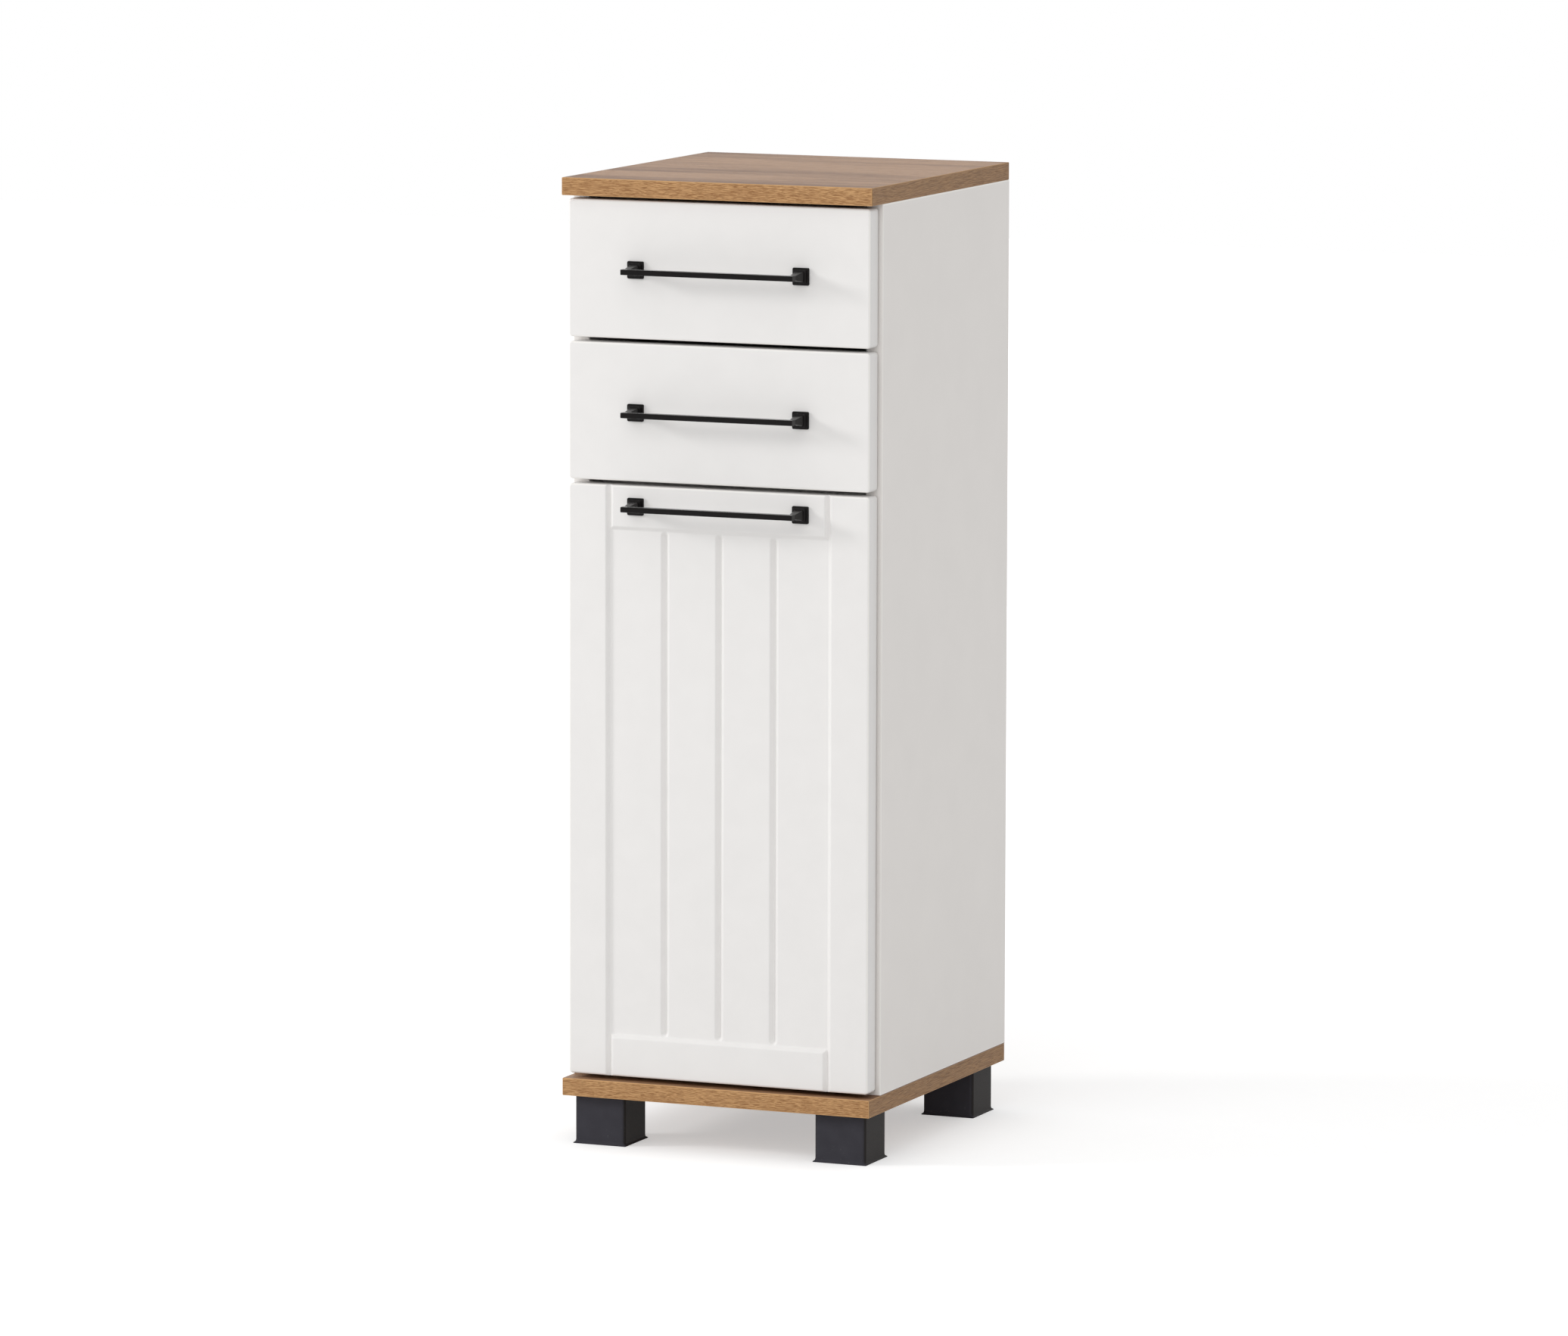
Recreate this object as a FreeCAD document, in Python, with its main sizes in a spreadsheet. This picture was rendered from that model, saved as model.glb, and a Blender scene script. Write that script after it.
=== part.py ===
import FreeCAD, Part
import math
import os
import Sketcher

# Narrow base cabinet: two drawers above a side-hung door, on four feet.
# X runs to the right, Y to the back and Z up. The origin is on the floor,
# under the middle of the whole cabinet with its handles.

# Driving sizes in millimetres
SIZES = {
    # Carcass
    "plate_width": 300,
    "plate_depth": 330,
    "board": 16,
    "opening_height": 800,
    "back_board": 3,
    "back_inset": 12,
    "channel_depth": 6,
    "channel_play": 0.4,
    "divider_setback": 30,
    "plate_arris": 0.8,
    "band_arris": 1,
    # Fronts
    "front_board": 18,
    "face_setback": 6,
    "front_gap": 2,
    "side_reveal": 4,
    "top_gap": 3,
    "between_gap": 4,
    "bottom_gap": 4,
    "drawer_front_height": 124,
    "front_edge_radius": 2,
    # Milling of the door
    "stile_groove_place": 106.2,
    "panel_depth": 3.4,
    "top_rail": 37,
    "bottom_rail": 35,
    "plank_pitch": 53,
    "plank_groove_radius": 3.8,
    "plank_groove_flat": 0.4,
    # Handles
    "handle_reach": 28,
    "handle_spacing": 160,
    "bar_length": 166,
    "bar_height": 5.5,
    "bar_thickness": 8,
    "bar_edge_radius": 0.8,
    "rosette_size": 15,
    "rosette_corner": 1.6,
    "rosette_step": 2.2,
    "collar_size": 11.5,
    "collar_step": 2,
    "post_root": 9.4,
    "post_tip": 6,
    "handle_screw_radius": 2,
    "handle_screw_grip": 9,
    "handle_head_radius": 4,
    "handle_head_height": 2.2,
    # Feet
    "foot_height": 45,
    "foot_body": 47,
    "foot_base": 52,
    "foot_side_inset": 6.5,
    "foot_end_inset": 9,
    "foot_corner": 4,
    "foot_rim": 1,
    "foot_skirt": 4.5,
    "foot_wall": 3,
    "foot_deck": 4,
    "foot_screw_spread": 28,
    # Drawer boxes
    "box_board": 12,
    "box_height": 80,
    "box_length": 270,
    "box_lift": 14,
    "box_base": 3,
    "box_base_lift": 10,
    # Telescopic slides
    "slide_width": 12.5,
    "slide_height": 35,
    "slide_length": 250,
    "slide_setback": 2,
    "slide_metal": 1.2,
    "slide_play": 0.4,
    "slide_head_room": 2.2,
    "slide_rail_lip": 9.4,
    "slide_lip_play": 0.3,
    "slide_screw_inset": 35,
    "slide_screw_spacing": 128,
    # Hinges
    "hinge_height": 50,
    "hinge_edge_place": 80,
    "leaf_metal": 0.9,
    "leaf_width": 9.4,
    "knuckle_radius": 2.2,
    "pin_radius": 1.2,
    "pin_play": 0.06,
    "pin_side_inset": 2.4,
    "pin_from_rear": 0.4,
    "knuckle_play": 0.3,
    "rebate_width": 1,
    "rebate_depth": 3.2,
    "hinge_screw_spacing": 34,
    # Adjustable shelf
    "shelf_level": 320,
    "shelf_setback": 20,
    "shelf_play": 1,
    "shelf_pin_radius": 2.5,
    "shelf_pin_depth": 9,
    "shelf_pin_reach": 8,
    "shelf_pin_inset": 50,
    "shelf_hole_pitch": 32,
    # Magnetic catch, bumpers and wall bracket
    "catch_width": 14,
    "catch_height": 44,
    "catch_depth": 15,
    "catch_drop": 24,
    "catch_play": 0.3,
    "strike_plate": 1.2,
    "bumper_radius": 4,
    "bumper_play": 0.2,
    "bumper_inset": 7,
    "bracket_width": 24,
    "bracket_leg": 26,
    "bracket_metal": 2,
    "wall_screw_radius": 2.6,
    # Joining hardware
    "joint_inset": 37,
    "dowel_pitch": 32,
    "cam_radius": 7.5,
    "cam_depth": 12.5,
    "cam_reach": 34,
    "cam_slot": 2,
    "cam_slot_length": 9,
    "bolt_radius": 3,
    "bolt_grip": 11,
    "dowel_radius": 4,
    "dowel_length": 30,
    "dowel_grip": 12,
    # Screws
    "screw_radius": 1.5,
    "screw_length": 12,
    "screw_head_radius": 3,
    "screw_head_height": 1.6,
    # Overrun of cuts past a face
    "overrun": 1,
}
ORIGIN = FreeCAD.Vector()
DIRECTIONS = {
    "x": FreeCAD.Vector(1, 0, 0),
    "y": FreeCAD.Vector(0, 1, 0),
    "z": FreeCAD.Vector(0, 0, 1),
}


class Length:
    """A size with its value and the sheet expression that it follows."""

    def __init__(self, value, text):
        self.value = value
        self.text = text

    def __add__(self, other):
        other = length(other)
        return Length(self.value + other.value, "(%s + %s)" % (self.text, other.text))

    def __sub__(self, other):
        other = length(other)
        return Length(self.value - other.value, "(%s - %s)" % (self.text, other.text))

    def __mul__(self, number):
        return Length(self.value * number, "(%s * %s)" % (self.text, number))

    def __truediv__(self, number):
        return Length(self.value / number, "(%s / %s)" % (self.text, number))

    def __neg__(self):
        return self * -1


def length(item):
    """A plain number, used for zero only, as a length."""
    return item if isinstance(item, Length) else Length(item, str(item))


def make_sheet(doc):
    """The sheet of driving sizes, one named cell each."""
    sheet = doc.addObject("Spreadsheet::Sheet", "Sizes")
    for row, (name, value) in enumerate(SIZES.items(), 1):
        sheet.set("A%d" % row, name)
        sheet.set("B%d" % row, str(value))
        sheet.setAlias("B%d" % row, name)
    doc.recompute()
    return sheet


class Sizes:
    """Each driving size of the sheet as a Length of the same name."""

    def __init__(self, sheet):
        for name in SIZES:
            setattr(self, name, Length(float(sheet.get(name)), "Sizes." + name))


doc = FreeCAD.newDocument("base_cabinet")
s = Sizes(make_sheet(doc))
parts = []

# Places of the carcass, in the cabinet's frame
half_width = s.plate_width / 2
inner_half = half_width - s.board
back_face = (s.plate_depth + s.handle_reach - s.face_setback) / 2
plate_front = back_face - s.plate_depth
front_face = plate_front + s.face_setback
front_rear = front_face + s.front_board
side_edge = front_rear + s.front_gap
back_panel_front = back_face - s.back_inset - s.back_board
floor_level = s.foot_height + s.board
ceiling = floor_level + s.opening_height

# Places of the three fronts
front_half = half_width - s.side_reveal
upper_top = ceiling - s.top_gap
upper_low = upper_top - s.drawer_front_height
lower_top = upper_low - s.between_gap
lower_low = lower_top - s.drawer_front_height
door_top = lower_low - s.between_gap
door_low = floor_level + s.bottom_gap
divider_middle = door_top + s.between_gap / 2
divider_low = divider_middle - s.board / 2

# Places of the joining hardware along the depth
joint_rows = [side_edge + s.joint_inset, back_panel_front - s.joint_inset]
dowel_rows = [joint_rows[0] + s.dowel_pitch, joint_rows[1] - s.dowel_pitch]


def bind(item, name, value):
    """Bind one property to a length."""
    item.setExpression(name, length(value).text)


def place(item, x, y, z):
    """Bind an object's place."""
    bind(item, "Placement.Base.x", x)
    bind(item, "Placement.Base.y", y)
    bind(item, "Placement.Base.z", z)


def keep(item, label):
    """Mark an object as one of the cabinet's pieces."""
    item.Label = label
    parts.append(item)
    return item


class Piece:
    """A body whose sketches are drawn at places in the cabinet's frame."""

    PLANES = {"x": "YZ_Plane", "y": "XZ_Plane", "z": "XY_Plane"}
    ACROSS = {"x": "yz", "y": "xz", "z": "xy"}

    def __init__(self, label, x, y, z):
        self.body = doc.addObject("PartDesign::Body", label)
        self.base = {"x": x, "y": y, "z": z}
        place(self.body, x, y, z)
        keep(self.body, label)

    def sketch(self, axis, level):
        """A sketch square to an axis, at a level along it."""
        sketch = self.body.newObject("Sketcher::SketchObject", "outline")
        planes = [item for item in self.body.Origin.OriginFeatures if item.Role == self.PLANES[axis]]
        sketch.AttachmentSupport = [(planes[0], "")]
        sketch.MapMode = "FlatFace"
        bind(sketch, "AttachmentOffset.Base.z", (level - self.base[axis]) * self.normal_sign(axis))
        return Outline(sketch, [self.base[letter] for letter in self.ACROSS[axis]])

    def normal_sign(self, axis):
        """The XZ plane faces the front, against Y; the other two face along their axes."""
        return -1 if axis == "y" else 1

    def feature(self, kind, outline):
        feature = self.body.newObject("PartDesign::" + kind, kind.lower())
        feature.Profile = outline.sketch
        return feature

    def pad(self, axis, level, size, draw, along=1):
        """Add an outline drawn by a function, carried along an axis."""
        outline = self.sketch(axis, level)
        draw(outline)
        feature = self.feature("Pad", outline)
        feature.Reversed = along != self.normal_sign(axis)
        bind(feature, "Length", size)
        return feature

    def pocket(self, axis, level, size, draw, along=1):
        """Cut an outline drawn by a function, carried along an axis."""
        outline = self.sketch(axis, level)
        draw(outline)
        feature = self.feature("Pocket", outline)
        feature.Reversed = along == self.normal_sign(axis)
        bind(feature, "Length", size)
        return feature

    def holes(self, axis, level, depth, radius, centres, along=1):
        """Bore round holes at places across an axis."""
        def draw(outline):
            for centre in centres:
                outline.circle(centre, radius)
        return self.pocket(axis, level, depth, draw, along)

    def loft(self, kind, axis, levels, draws):
        """Join outlines at several levels."""
        outlines = []
        for level, draw in zip(levels, draws):
            outline = self.sketch(axis, level)
            draw(outline)
            outlines.append(outline)
        feature = self.feature(kind, outlines[0])
        feature.Sections = [outline.sketch for outline in outlines[1:]]
        feature.Ruled = True
        return feature

    def fillet(self, radius, wanted):
        """Round the edges that a function picks, in the body's own frame."""
        doc.recompute()
        tip = self.body.Tip
        names = ["Edge%d" % number for number, edge in enumerate(tip.Shape.Edges, 1) if wanted(edge)]
        feature = self.body.newObject("PartDesign::Fillet", "rounding")
        feature.Base = (tip, names)
        bind(feature, "Radius", radius)
        return feature


class Outline:
    """A sketch with helpers that bind every point to a length."""

    def __init__(self, sketch, base):
        self.sketch = sketch
        self.base = base

    def local(self, point):
        return [length(value) - origin for value, origin in zip(point, self.base)]

    def pin(self, item, end, point):
        """Hold one point of the sketch at a place."""
        for kind, value in zip(("DistanceX", "DistanceY"), point):
            number = self.sketch.addConstraint(Sketcher.Constraint(kind, -1, 1, item, end, value.value))
            self.sketch.setExpression("Constraints[%d]" % number, value.text)

    def radius(self, item, value):
        number = self.sketch.addConstraint(Sketcher.Constraint("Radius", item, value.value))
        self.sketch.setExpression("Constraints[%d]" % number, value.text)

    def polygon(self, points):
        """Straight sides through points given in order."""
        local = [self.local(point) for point in points]
        vectors = [FreeCAD.Vector(u.value, v.value, 0) for u, v in local]
        first = self.sketch.GeometryCount
        count = len(points)
        for number in range(count):
            side = Part.LineSegment(vectors[number], vectors[(number + 1) % count])
            self.sketch.addGeometry(side, False)
        for number in range(count):
            following = first + (number + 1) % count
            self.sketch.addConstraint(Sketcher.Constraint("Coincident", first + number, 2, following, 1))
            self.pin(first + number, 1, local[number])

    def rectangle(self, low, high):
        self.polygon([(low[0], low[1]), (high[0], low[1]), (high[0], high[1]), (low[0], high[1])])

    def circle(self, centre, radius):
        u, v = self.local(centre)
        circle = Part.Circle(FreeCAD.Vector(u.value, v.value, 0), DIRECTIONS["z"], radius.value)
        number = self.sketch.addGeometry(circle, False)
        self.pin(number, 3, (u, v))
        self.radius(number, radius)

    def rounded(self, low, high, corner):
        """A rectangle with four round corners."""
        low = self.local(low)
        high = self.local(high)
        centres = [
            (high[0] - corner, high[1] - corner),
            (low[0] + corner, high[1] - corner),
            (low[0] + corner, low[1] + corner),
            (high[0] - corner, low[1] + corner),
        ]
        first = self.sketch.GeometryCount
        for number, (u, v) in enumerate(centres):
            circle = Part.Circle(FreeCAD.Vector(u.value, v.value, 0), DIRECTIONS["z"], corner.value)
            start = number * math.pi / 2
            self.sketch.addGeometry(Part.ArcOfCircle(circle, start, start + math.pi / 2), False)
        for number in range(4):
            start = self.sketch.getPoint(first + number, 2)
            end = self.sketch.getPoint(first + (number + 1) % 4, 1)
            self.sketch.addGeometry(Part.LineSegment(start, end), False)
        for number, centre in enumerate(centres):
            line = first + 4 + number
            following = first + (number + 1) % 4
            self.sketch.addConstraint(Sketcher.Constraint("Tangent", first + number, 2, line, 1))
            self.sketch.addConstraint(Sketcher.Constraint("Tangent", line, 2, following, 1))
            self.sketch.addConstraint(Sketcher.Constraint("Vertical" if number % 2 else "Horizontal", line))
            self.radius(first + number, corner)
            if number % 2 == 0:
                self.pin(first + number, 3, centre)

    def slot(self, middle, low, high, radius):
        """An upright slot from the centre of its lower end to that of its upper end."""
        centres = [self.local((middle, high)), self.local((middle, low))]
        arcs = []
        for number, (u, v) in enumerate(centres):
            circle = Part.Circle(FreeCAD.Vector(u.value, v.value, 0), DIRECTIONS["z"], radius.value)
            start = number * math.pi
            arc = Part.ArcOfCircle(circle, start, start + math.pi)
            arcs.append(self.sketch.addGeometry(arc, False))
        for number in range(2):
            start = self.sketch.getPoint(arcs[number], 2)
            end = self.sketch.getPoint(arcs[1 - number], 1)
            line = self.sketch.addGeometry(Part.LineSegment(start, end), False)
            self.sketch.addConstraint(Sketcher.Constraint("Tangent", arcs[number], 2, line, 1))
            self.sketch.addConstraint(Sketcher.Constraint("Tangent", line, 2, arcs[1 - number], 1))
        for arc, centre in zip(arcs, centres):
            self.pin(arc, 3, centre)
            self.radius(arc, radius)


def block(name, low, high):
    """A plain box between two corners."""
    item = doc.addObject("Part::Box", name)
    for size, start, end in zip(("Length", "Width", "Height"), low, high):
        bind(item, size, length(end) - start)
    place(item, *low)
    return item


def rod(name, axis, start, size, radius):
    """A round rod from a point along an axis."""
    item = doc.addObject("Part::Cylinder", name)
    turns = {"x": ("y", 90), "y": ("x", -90), "z": ("z", 0)}
    turn, angle = turns[axis]
    item.Placement = FreeCAD.Placement(ORIGIN, FreeCAD.Rotation(DIRECTIONS[turn], angle))
    bind(item, "Height", size)
    bind(item, "Radius", radius)
    place(item, *start)
    return item


def fuse(label, pieces):
    item = doc.addObject("Part::MultiFuse", label)
    item.Shapes = pieces
    item.Refine = True
    return item


def cut(label, base, tools):
    item = doc.addObject("Part::Cut", label)
    item.Base = base
    item.Tool = tools[0] if len(tools) == 1 else fuse(label + "_bores", tools)
    return item


def group(label, shapes, corner):
    """Like solids that share one piece, carried by a common corner point."""
    item = doc.addObject("Part::Feature", label)
    shift = FreeCAD.Vector(*[length(value).value for value in corner])
    for shape in shapes:
        shape.translate(shift * -1)
    item.Shape = Part.makeCompound(shapes)
    item.Placement = FreeCAD.Placement(shift, FreeCAD.Rotation())
    keep(item, label)
    return item


def vector(point):
    return FreeCAD.Vector(*[length(value).value for value in point])


def rod_shape(point, axis, sign, size, radius):
    """A round solid that runs from a point along an axis."""
    return Part.makeCylinder(radius.value, size.value, vector(point), DIRECTIONS[axis] * sign)


def screw_shape(point, axis, sign, shank, radius, head_height, head_radius):
    """A pan-head screw: its head's underside is at the point, its shank runs along the sign."""
    shaft = rod_shape(point, axis, sign, shank, radius)
    head = rod_shape(point, axis, -sign, head_height, head_radius)
    return shaft.fuse(head).removeSplitter()


def wood_screw(point, axis, sign):
    return screw_shape(
        point, axis, sign, s.screw_length, s.screw_radius, s.screw_head_height, s.screw_head_radius
    )


# Screws gathered from all over the carcass and the door
carcass_screws = []
door_screws = []

# Places of fasteners
foot_half = s.foot_base / 2
foot_columns = [half_width * side - (s.foot_side_inset + foot_half) * side for side in (-1, 1)]
foot_rows = [plate_front + s.foot_end_inset + foot_half, back_face - s.foot_end_inset - foot_half]
slide_front = side_edge + s.slide_setback
slide_screw_rows = [
    slide_front + s.slide_screw_inset,
    slide_front + s.slide_screw_inset + s.slide_screw_spacing,
]
box_low = {"upper": upper_low + s.box_lift, "lower": lower_low + s.box_lift}
slide_level = {name: low + s.box_height / 2 for name, low in box_low.items()}
box_half = inner_half - s.slide_width
box_inner = box_half - s.box_board
box_rear = front_rear + s.box_length
shelf_rows = [side_edge + s.shelf_pin_inset, back_panel_front - s.shelf_pin_inset]
shelf_pin_level = s.shelf_level - s.shelf_pin_radius
hinge_levels = {
    "upper": door_top - s.hinge_edge_place,
    "lower": door_low + s.hinge_edge_place,
}
pin_x = -half_width + s.pin_side_inset
pin_y = front_rear - s.pin_from_rear
leaf_screw_x = pin_x + s.knuckle_radius + s.leaf_width / 2
catch_level = divider_low - s.catch_drop - s.catch_height / 2
catch_screw_levels = [catch_level - s.catch_height / 4, catch_level + s.catch_height / 4]
catch_middle = inner_half - s.catch_width / 2
bracket_middle = ceiling - s.bracket_leg / 2
handle_level = {
    "upper": (upper_top + upper_low) / 2,
    "lower": (lower_top + lower_low) / 2,
    "door": door_top - s.top_rail / 2,
}


def foot_screw_places(column, row):
    offset = s.foot_screw_spread / 2
    return [(column + offset * u, row + offset * v) for u in (-1, 1) for v in (-1, 1)]


def panel_channel(side):
    """The channel in a side panel that holds the back panel's edge."""
    inner = inner_half * side
    outer = (inner_half + s.channel_depth) * side
    edges = (inner, outer) if side > 0 else (outer, inner)

    def draw(outline):
        outline.rectangle(
            (edges[0], back_panel_front - s.channel_play / 2),
            (edges[1], back_panel_front + s.back_board + s.channel_play / 2),
        )
    return draw


# Top and bottom plates
def make_plate(label, low, inner_level, inward):
    """A plate with the sides' hardware bores and the back panel's channel.

    inward is 1 where the inner face looks up and -1 where it looks down.
    """
    piece = Piece(label, -half_width, plate_front, low)
    piece.pad("z", low, s.board, lambda outline: outline.rectangle(
        (-half_width, plate_front), (half_width, back_face)))
    piece.fillet(s.plate_arris, lambda edge: True)
    columns = [(half_width - s.board / 2) * side for side in (-1, 1)]
    bolts = [(x, y) for x in columns for y in joint_rows]
    dowels = [(x, y) for x in columns for y in dowel_rows]
    piece.holes("z", inner_level, s.bolt_grip, s.bolt_radius, bolts, -inward)
    piece.holes("z", inner_level, s.dowel_grip, s.dowel_radius, dowels, -inward)
    channel_end = inner_half + s.channel_depth
    piece.pocket("z", inner_level, s.channel_depth, lambda outline: outline.rectangle(
        (-channel_end, back_panel_front - s.channel_play / 2),
        (channel_end, back_panel_front + s.back_board + s.channel_play / 2)), -inward)
    return piece


bottom_panel = make_plate("bottom_panel", s.foot_height, floor_level, 1)
foot_screws_at = []
for foot_x in foot_columns:
    for foot_y in foot_rows:
        foot_screws_at += foot_screw_places(foot_x, foot_y)
foot_bore = s.screw_length - s.foot_deck
bottom_panel.holes("z", s.foot_height, foot_bore, s.screw_radius, foot_screws_at)

top_panel = make_plate("top_panel", ceiling, ceiling, -1)
bracket_screw = (length(0), back_panel_front - s.bracket_leg / 2)
top_bore = s.screw_length - s.bracket_metal
top_panel.holes("z", ceiling, top_bore, s.screw_radius, [bracket_screw])


# Side panels
def make_side(label, side):
    """A side panel: -1 is the left one and 1 the right one."""
    low_x = -half_width if side < 0 else inner_half
    inner = inner_half * side
    middle = (half_width - s.board / 2) * side
    piece = Piece(label, low_x, side_edge, floor_level)
    piece.pad("x", low_x, s.board, lambda outline: outline.rectangle(
        (side_edge, floor_level), (back_face, ceiling)))
    piece.fillet(s.band_arris, lambda edge: edge.BoundBox.YMax < s.overrun.value
                 and edge.BoundBox.ZLength > s.board.value)
    cams = [(y, z) for y in joint_rows for z in (floor_level + s.cam_reach, ceiling - s.cam_reach)]
    piece.holes("x", inner, s.cam_depth, s.cam_radius, cams, side)
    dowel_depth = s.dowel_length - s.dowel_grip
    for level, inward in ((floor_level, 1), (ceiling, -1)):
        piece.holes("z", level, s.cam_reach, s.bolt_radius, [(middle, y) for y in joint_rows], inward)
        piece.holes("z", level, dowel_depth, s.dowel_radius, [(middle, y) for y in dowel_rows], inward)
    bolts = [(y, divider_middle) for y in divider_rows]
    dowels = [(y, divider_middle) for y in divider_dowel_rows]
    piece.holes("x", inner, s.bolt_grip, s.bolt_radius, bolts, side)
    piece.holes("x", inner, s.dowel_grip, s.dowel_radius, dowels, side)
    slide_bore = s.screw_length - s.slide_metal
    screws = [(y, z) for y in slide_screw_rows for z in slide_level.values()]
    piece.holes("x", inner, slide_bore, s.screw_radius, screws, side)
    pins = [(row, shelf_pin_level + s.shelf_hole_pitch * step) for row in shelf_rows for step in (-1, 0, 1)]
    piece.holes("x", inner, s.shelf_pin_depth, s.shelf_pin_radius, pins, side)
    piece.pocket("z", floor_level, s.opening_height, panel_channel(side))
    return piece


divider_front = side_edge + s.divider_setback
divider_rows = [divider_front + s.joint_inset, back_panel_front - s.joint_inset]
divider_dowel_rows = [divider_rows[0] + s.dowel_pitch, divider_rows[1] - s.dowel_pitch]
side_left = make_side("side_panel_left", -1)
side_right = make_side("side_panel_right", 1)

hinge_bore = s.screw_length - s.leaf_metal
hinge_screw_levels = []
for level in hinge_levels.values():
    hinge_screw_levels += [level - s.hinge_screw_spacing / 2, level + s.hinge_screw_spacing / 2]
side_left.holes("y", side_edge, hinge_bore, s.screw_radius, [(leaf_screw_x, z) for z in hinge_screw_levels])
catch_screw_y = side_edge + s.catch_depth / 2
side_right.holes("x", inner_half, s.screw_length - s.catch_width / 2, s.screw_radius,
                 [(catch_screw_y, z) for z in catch_screw_levels])

# Divider between the drawers and the door's space
divider = Piece("divider_shelf", -inner_half, divider_front, divider_low)
divider.pad("z", divider_low, s.board, lambda outline: outline.rectangle(
    (-inner_half, divider_front), (inner_half, back_panel_front)))
divider.fillet(s.band_arris, lambda edge: edge.BoundBox.YMax < s.overrun.value
               and edge.BoundBox.XLength > s.board.value)
for side in (-1, 1):
    end = inner_half * side
    divider.holes("x", end, s.cam_reach, s.bolt_radius, [(y, divider_middle) for y in divider_rows], -side)
    divider.holes("x", end, s.dowel_length - s.dowel_grip, s.dowel_radius,
                  [(y, divider_middle) for y in divider_dowel_rows], -side)
divider_cams = [((inner_half - s.cam_reach) * side, y) for side in (-1, 1) for y in divider_rows]
divider.holes("z", divider_low, s.cam_depth, s.cam_radius, divider_cams)

# Back panel with the clearance hole of the wall screw
panel_reach = s.channel_depth - s.channel_play
back_panel = block(
    "back_board",
    (-(inner_half + panel_reach), back_panel_front, floor_level - panel_reach),
    (inner_half + panel_reach, back_panel_front + s.back_board, ceiling + panel_reach),
)
wall_hole = rod(
    "wall_hole", "y",
    (0, back_panel_front - s.overrun, bracket_middle),
    s.back_board + s.overrun * 2,
    s.wall_screw_radius + s.channel_play,
)
keep(cut("back_panel", back_panel, [wall_hole]), "back_panel")

# Adjustable shelf on its four pins
keep(block(
    "shelf",
    (-(inner_half - s.shelf_play), side_edge + s.shelf_setback, s.shelf_level),
    (inner_half - s.shelf_play, back_panel_front - s.shelf_play, s.shelf_level + s.board),
), "shelf")
shelf_pins = []
for side in (-1, 1):
    for row in shelf_rows:
        start = ((inner_half + s.shelf_pin_depth) * side, row, shelf_pin_level)
        shelf_pins.append(rod_shape(start, "x", -side, s.shelf_pin_depth + s.shelf_pin_reach,
                                    s.shelf_pin_radius))
group("shelf_pins", shelf_pins, (-inner_half, shelf_rows[0], shelf_pin_level))


# Cams, bolts and dowels that join the boards
def cam_shape(point, axis, sign, bolt_axis, bolt_sign):
    """A cam: a disc with a driver slot in its face and a bore for the bolt's tip."""
    cam = rod_shape(point, axis, sign, s.cam_depth, s.cam_radius)
    inward = vector(point) + DIRECTIONS[axis] * (sign * s.board.value / 2)
    bore = Part.makeCylinder(s.bolt_radius.value, s.cam_reach.value, inward,
                             DIRECTIONS[bolt_axis] * bolt_sign)
    slot = Part.makeBox(s.cam_slot.value, s.cam_slot.value, s.cam_slot_length.value)
    slot.translate(FreeCAD.Vector(s.cam_slot.value, s.cam_slot.value, s.cam_slot_length.value) / -2)
    if axis == "z":
        slot.rotate(ORIGIN, DIRECTIONS["y"], 90)
    slot.translate(vector(point))
    return cam.cut(bore).cut(slot)


cams = []
bolts = []
dowels = []
for side in (-1, 1):
    middle = (half_width - s.board / 2) * side
    bolt_tip = s.cam_reach
    for level, inward in ((floor_level, 1), (ceiling, -1)):
        plate_side = level - s.bolt_grip * inward
        for y in joint_rows:
            cam_at = (inner_half * side, y, level + s.cam_reach * inward)
            cams.append(cam_shape(cam_at, "x", side, "z", -inward))
            bolts.append(rod_shape((middle, y, plate_side), "z", inward, s.bolt_grip + bolt_tip,
                                   s.bolt_radius))
        for y in dowel_rows:
            start = (middle, y, level - s.dowel_grip * inward)
            dowels.append(rod_shape(start, "z", inward, s.dowel_length, s.dowel_radius))
    for y in divider_rows:
        cam_at = ((inner_half - s.cam_reach) * side, y, divider_low)
        cams.append(cam_shape(cam_at, "z", 1, "x", side))
        start = ((inner_half + s.bolt_grip) * side, y, divider_middle)
        bolts.append(rod_shape(start, "x", -side, s.bolt_grip + bolt_tip, s.bolt_radius))
    for y in divider_dowel_rows:
        start = ((inner_half + s.dowel_grip) * side, y, divider_middle)
        dowels.append(rod_shape(start, "x", -side, s.dowel_length, s.dowel_radius))
joint_corner = (-inner_half, joint_rows[0], floor_level)
group("cam_locks", cams, joint_corner)
group("cam_bolts", bolts, joint_corner)
group("joint_dowels", dowels, joint_corner)


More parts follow.
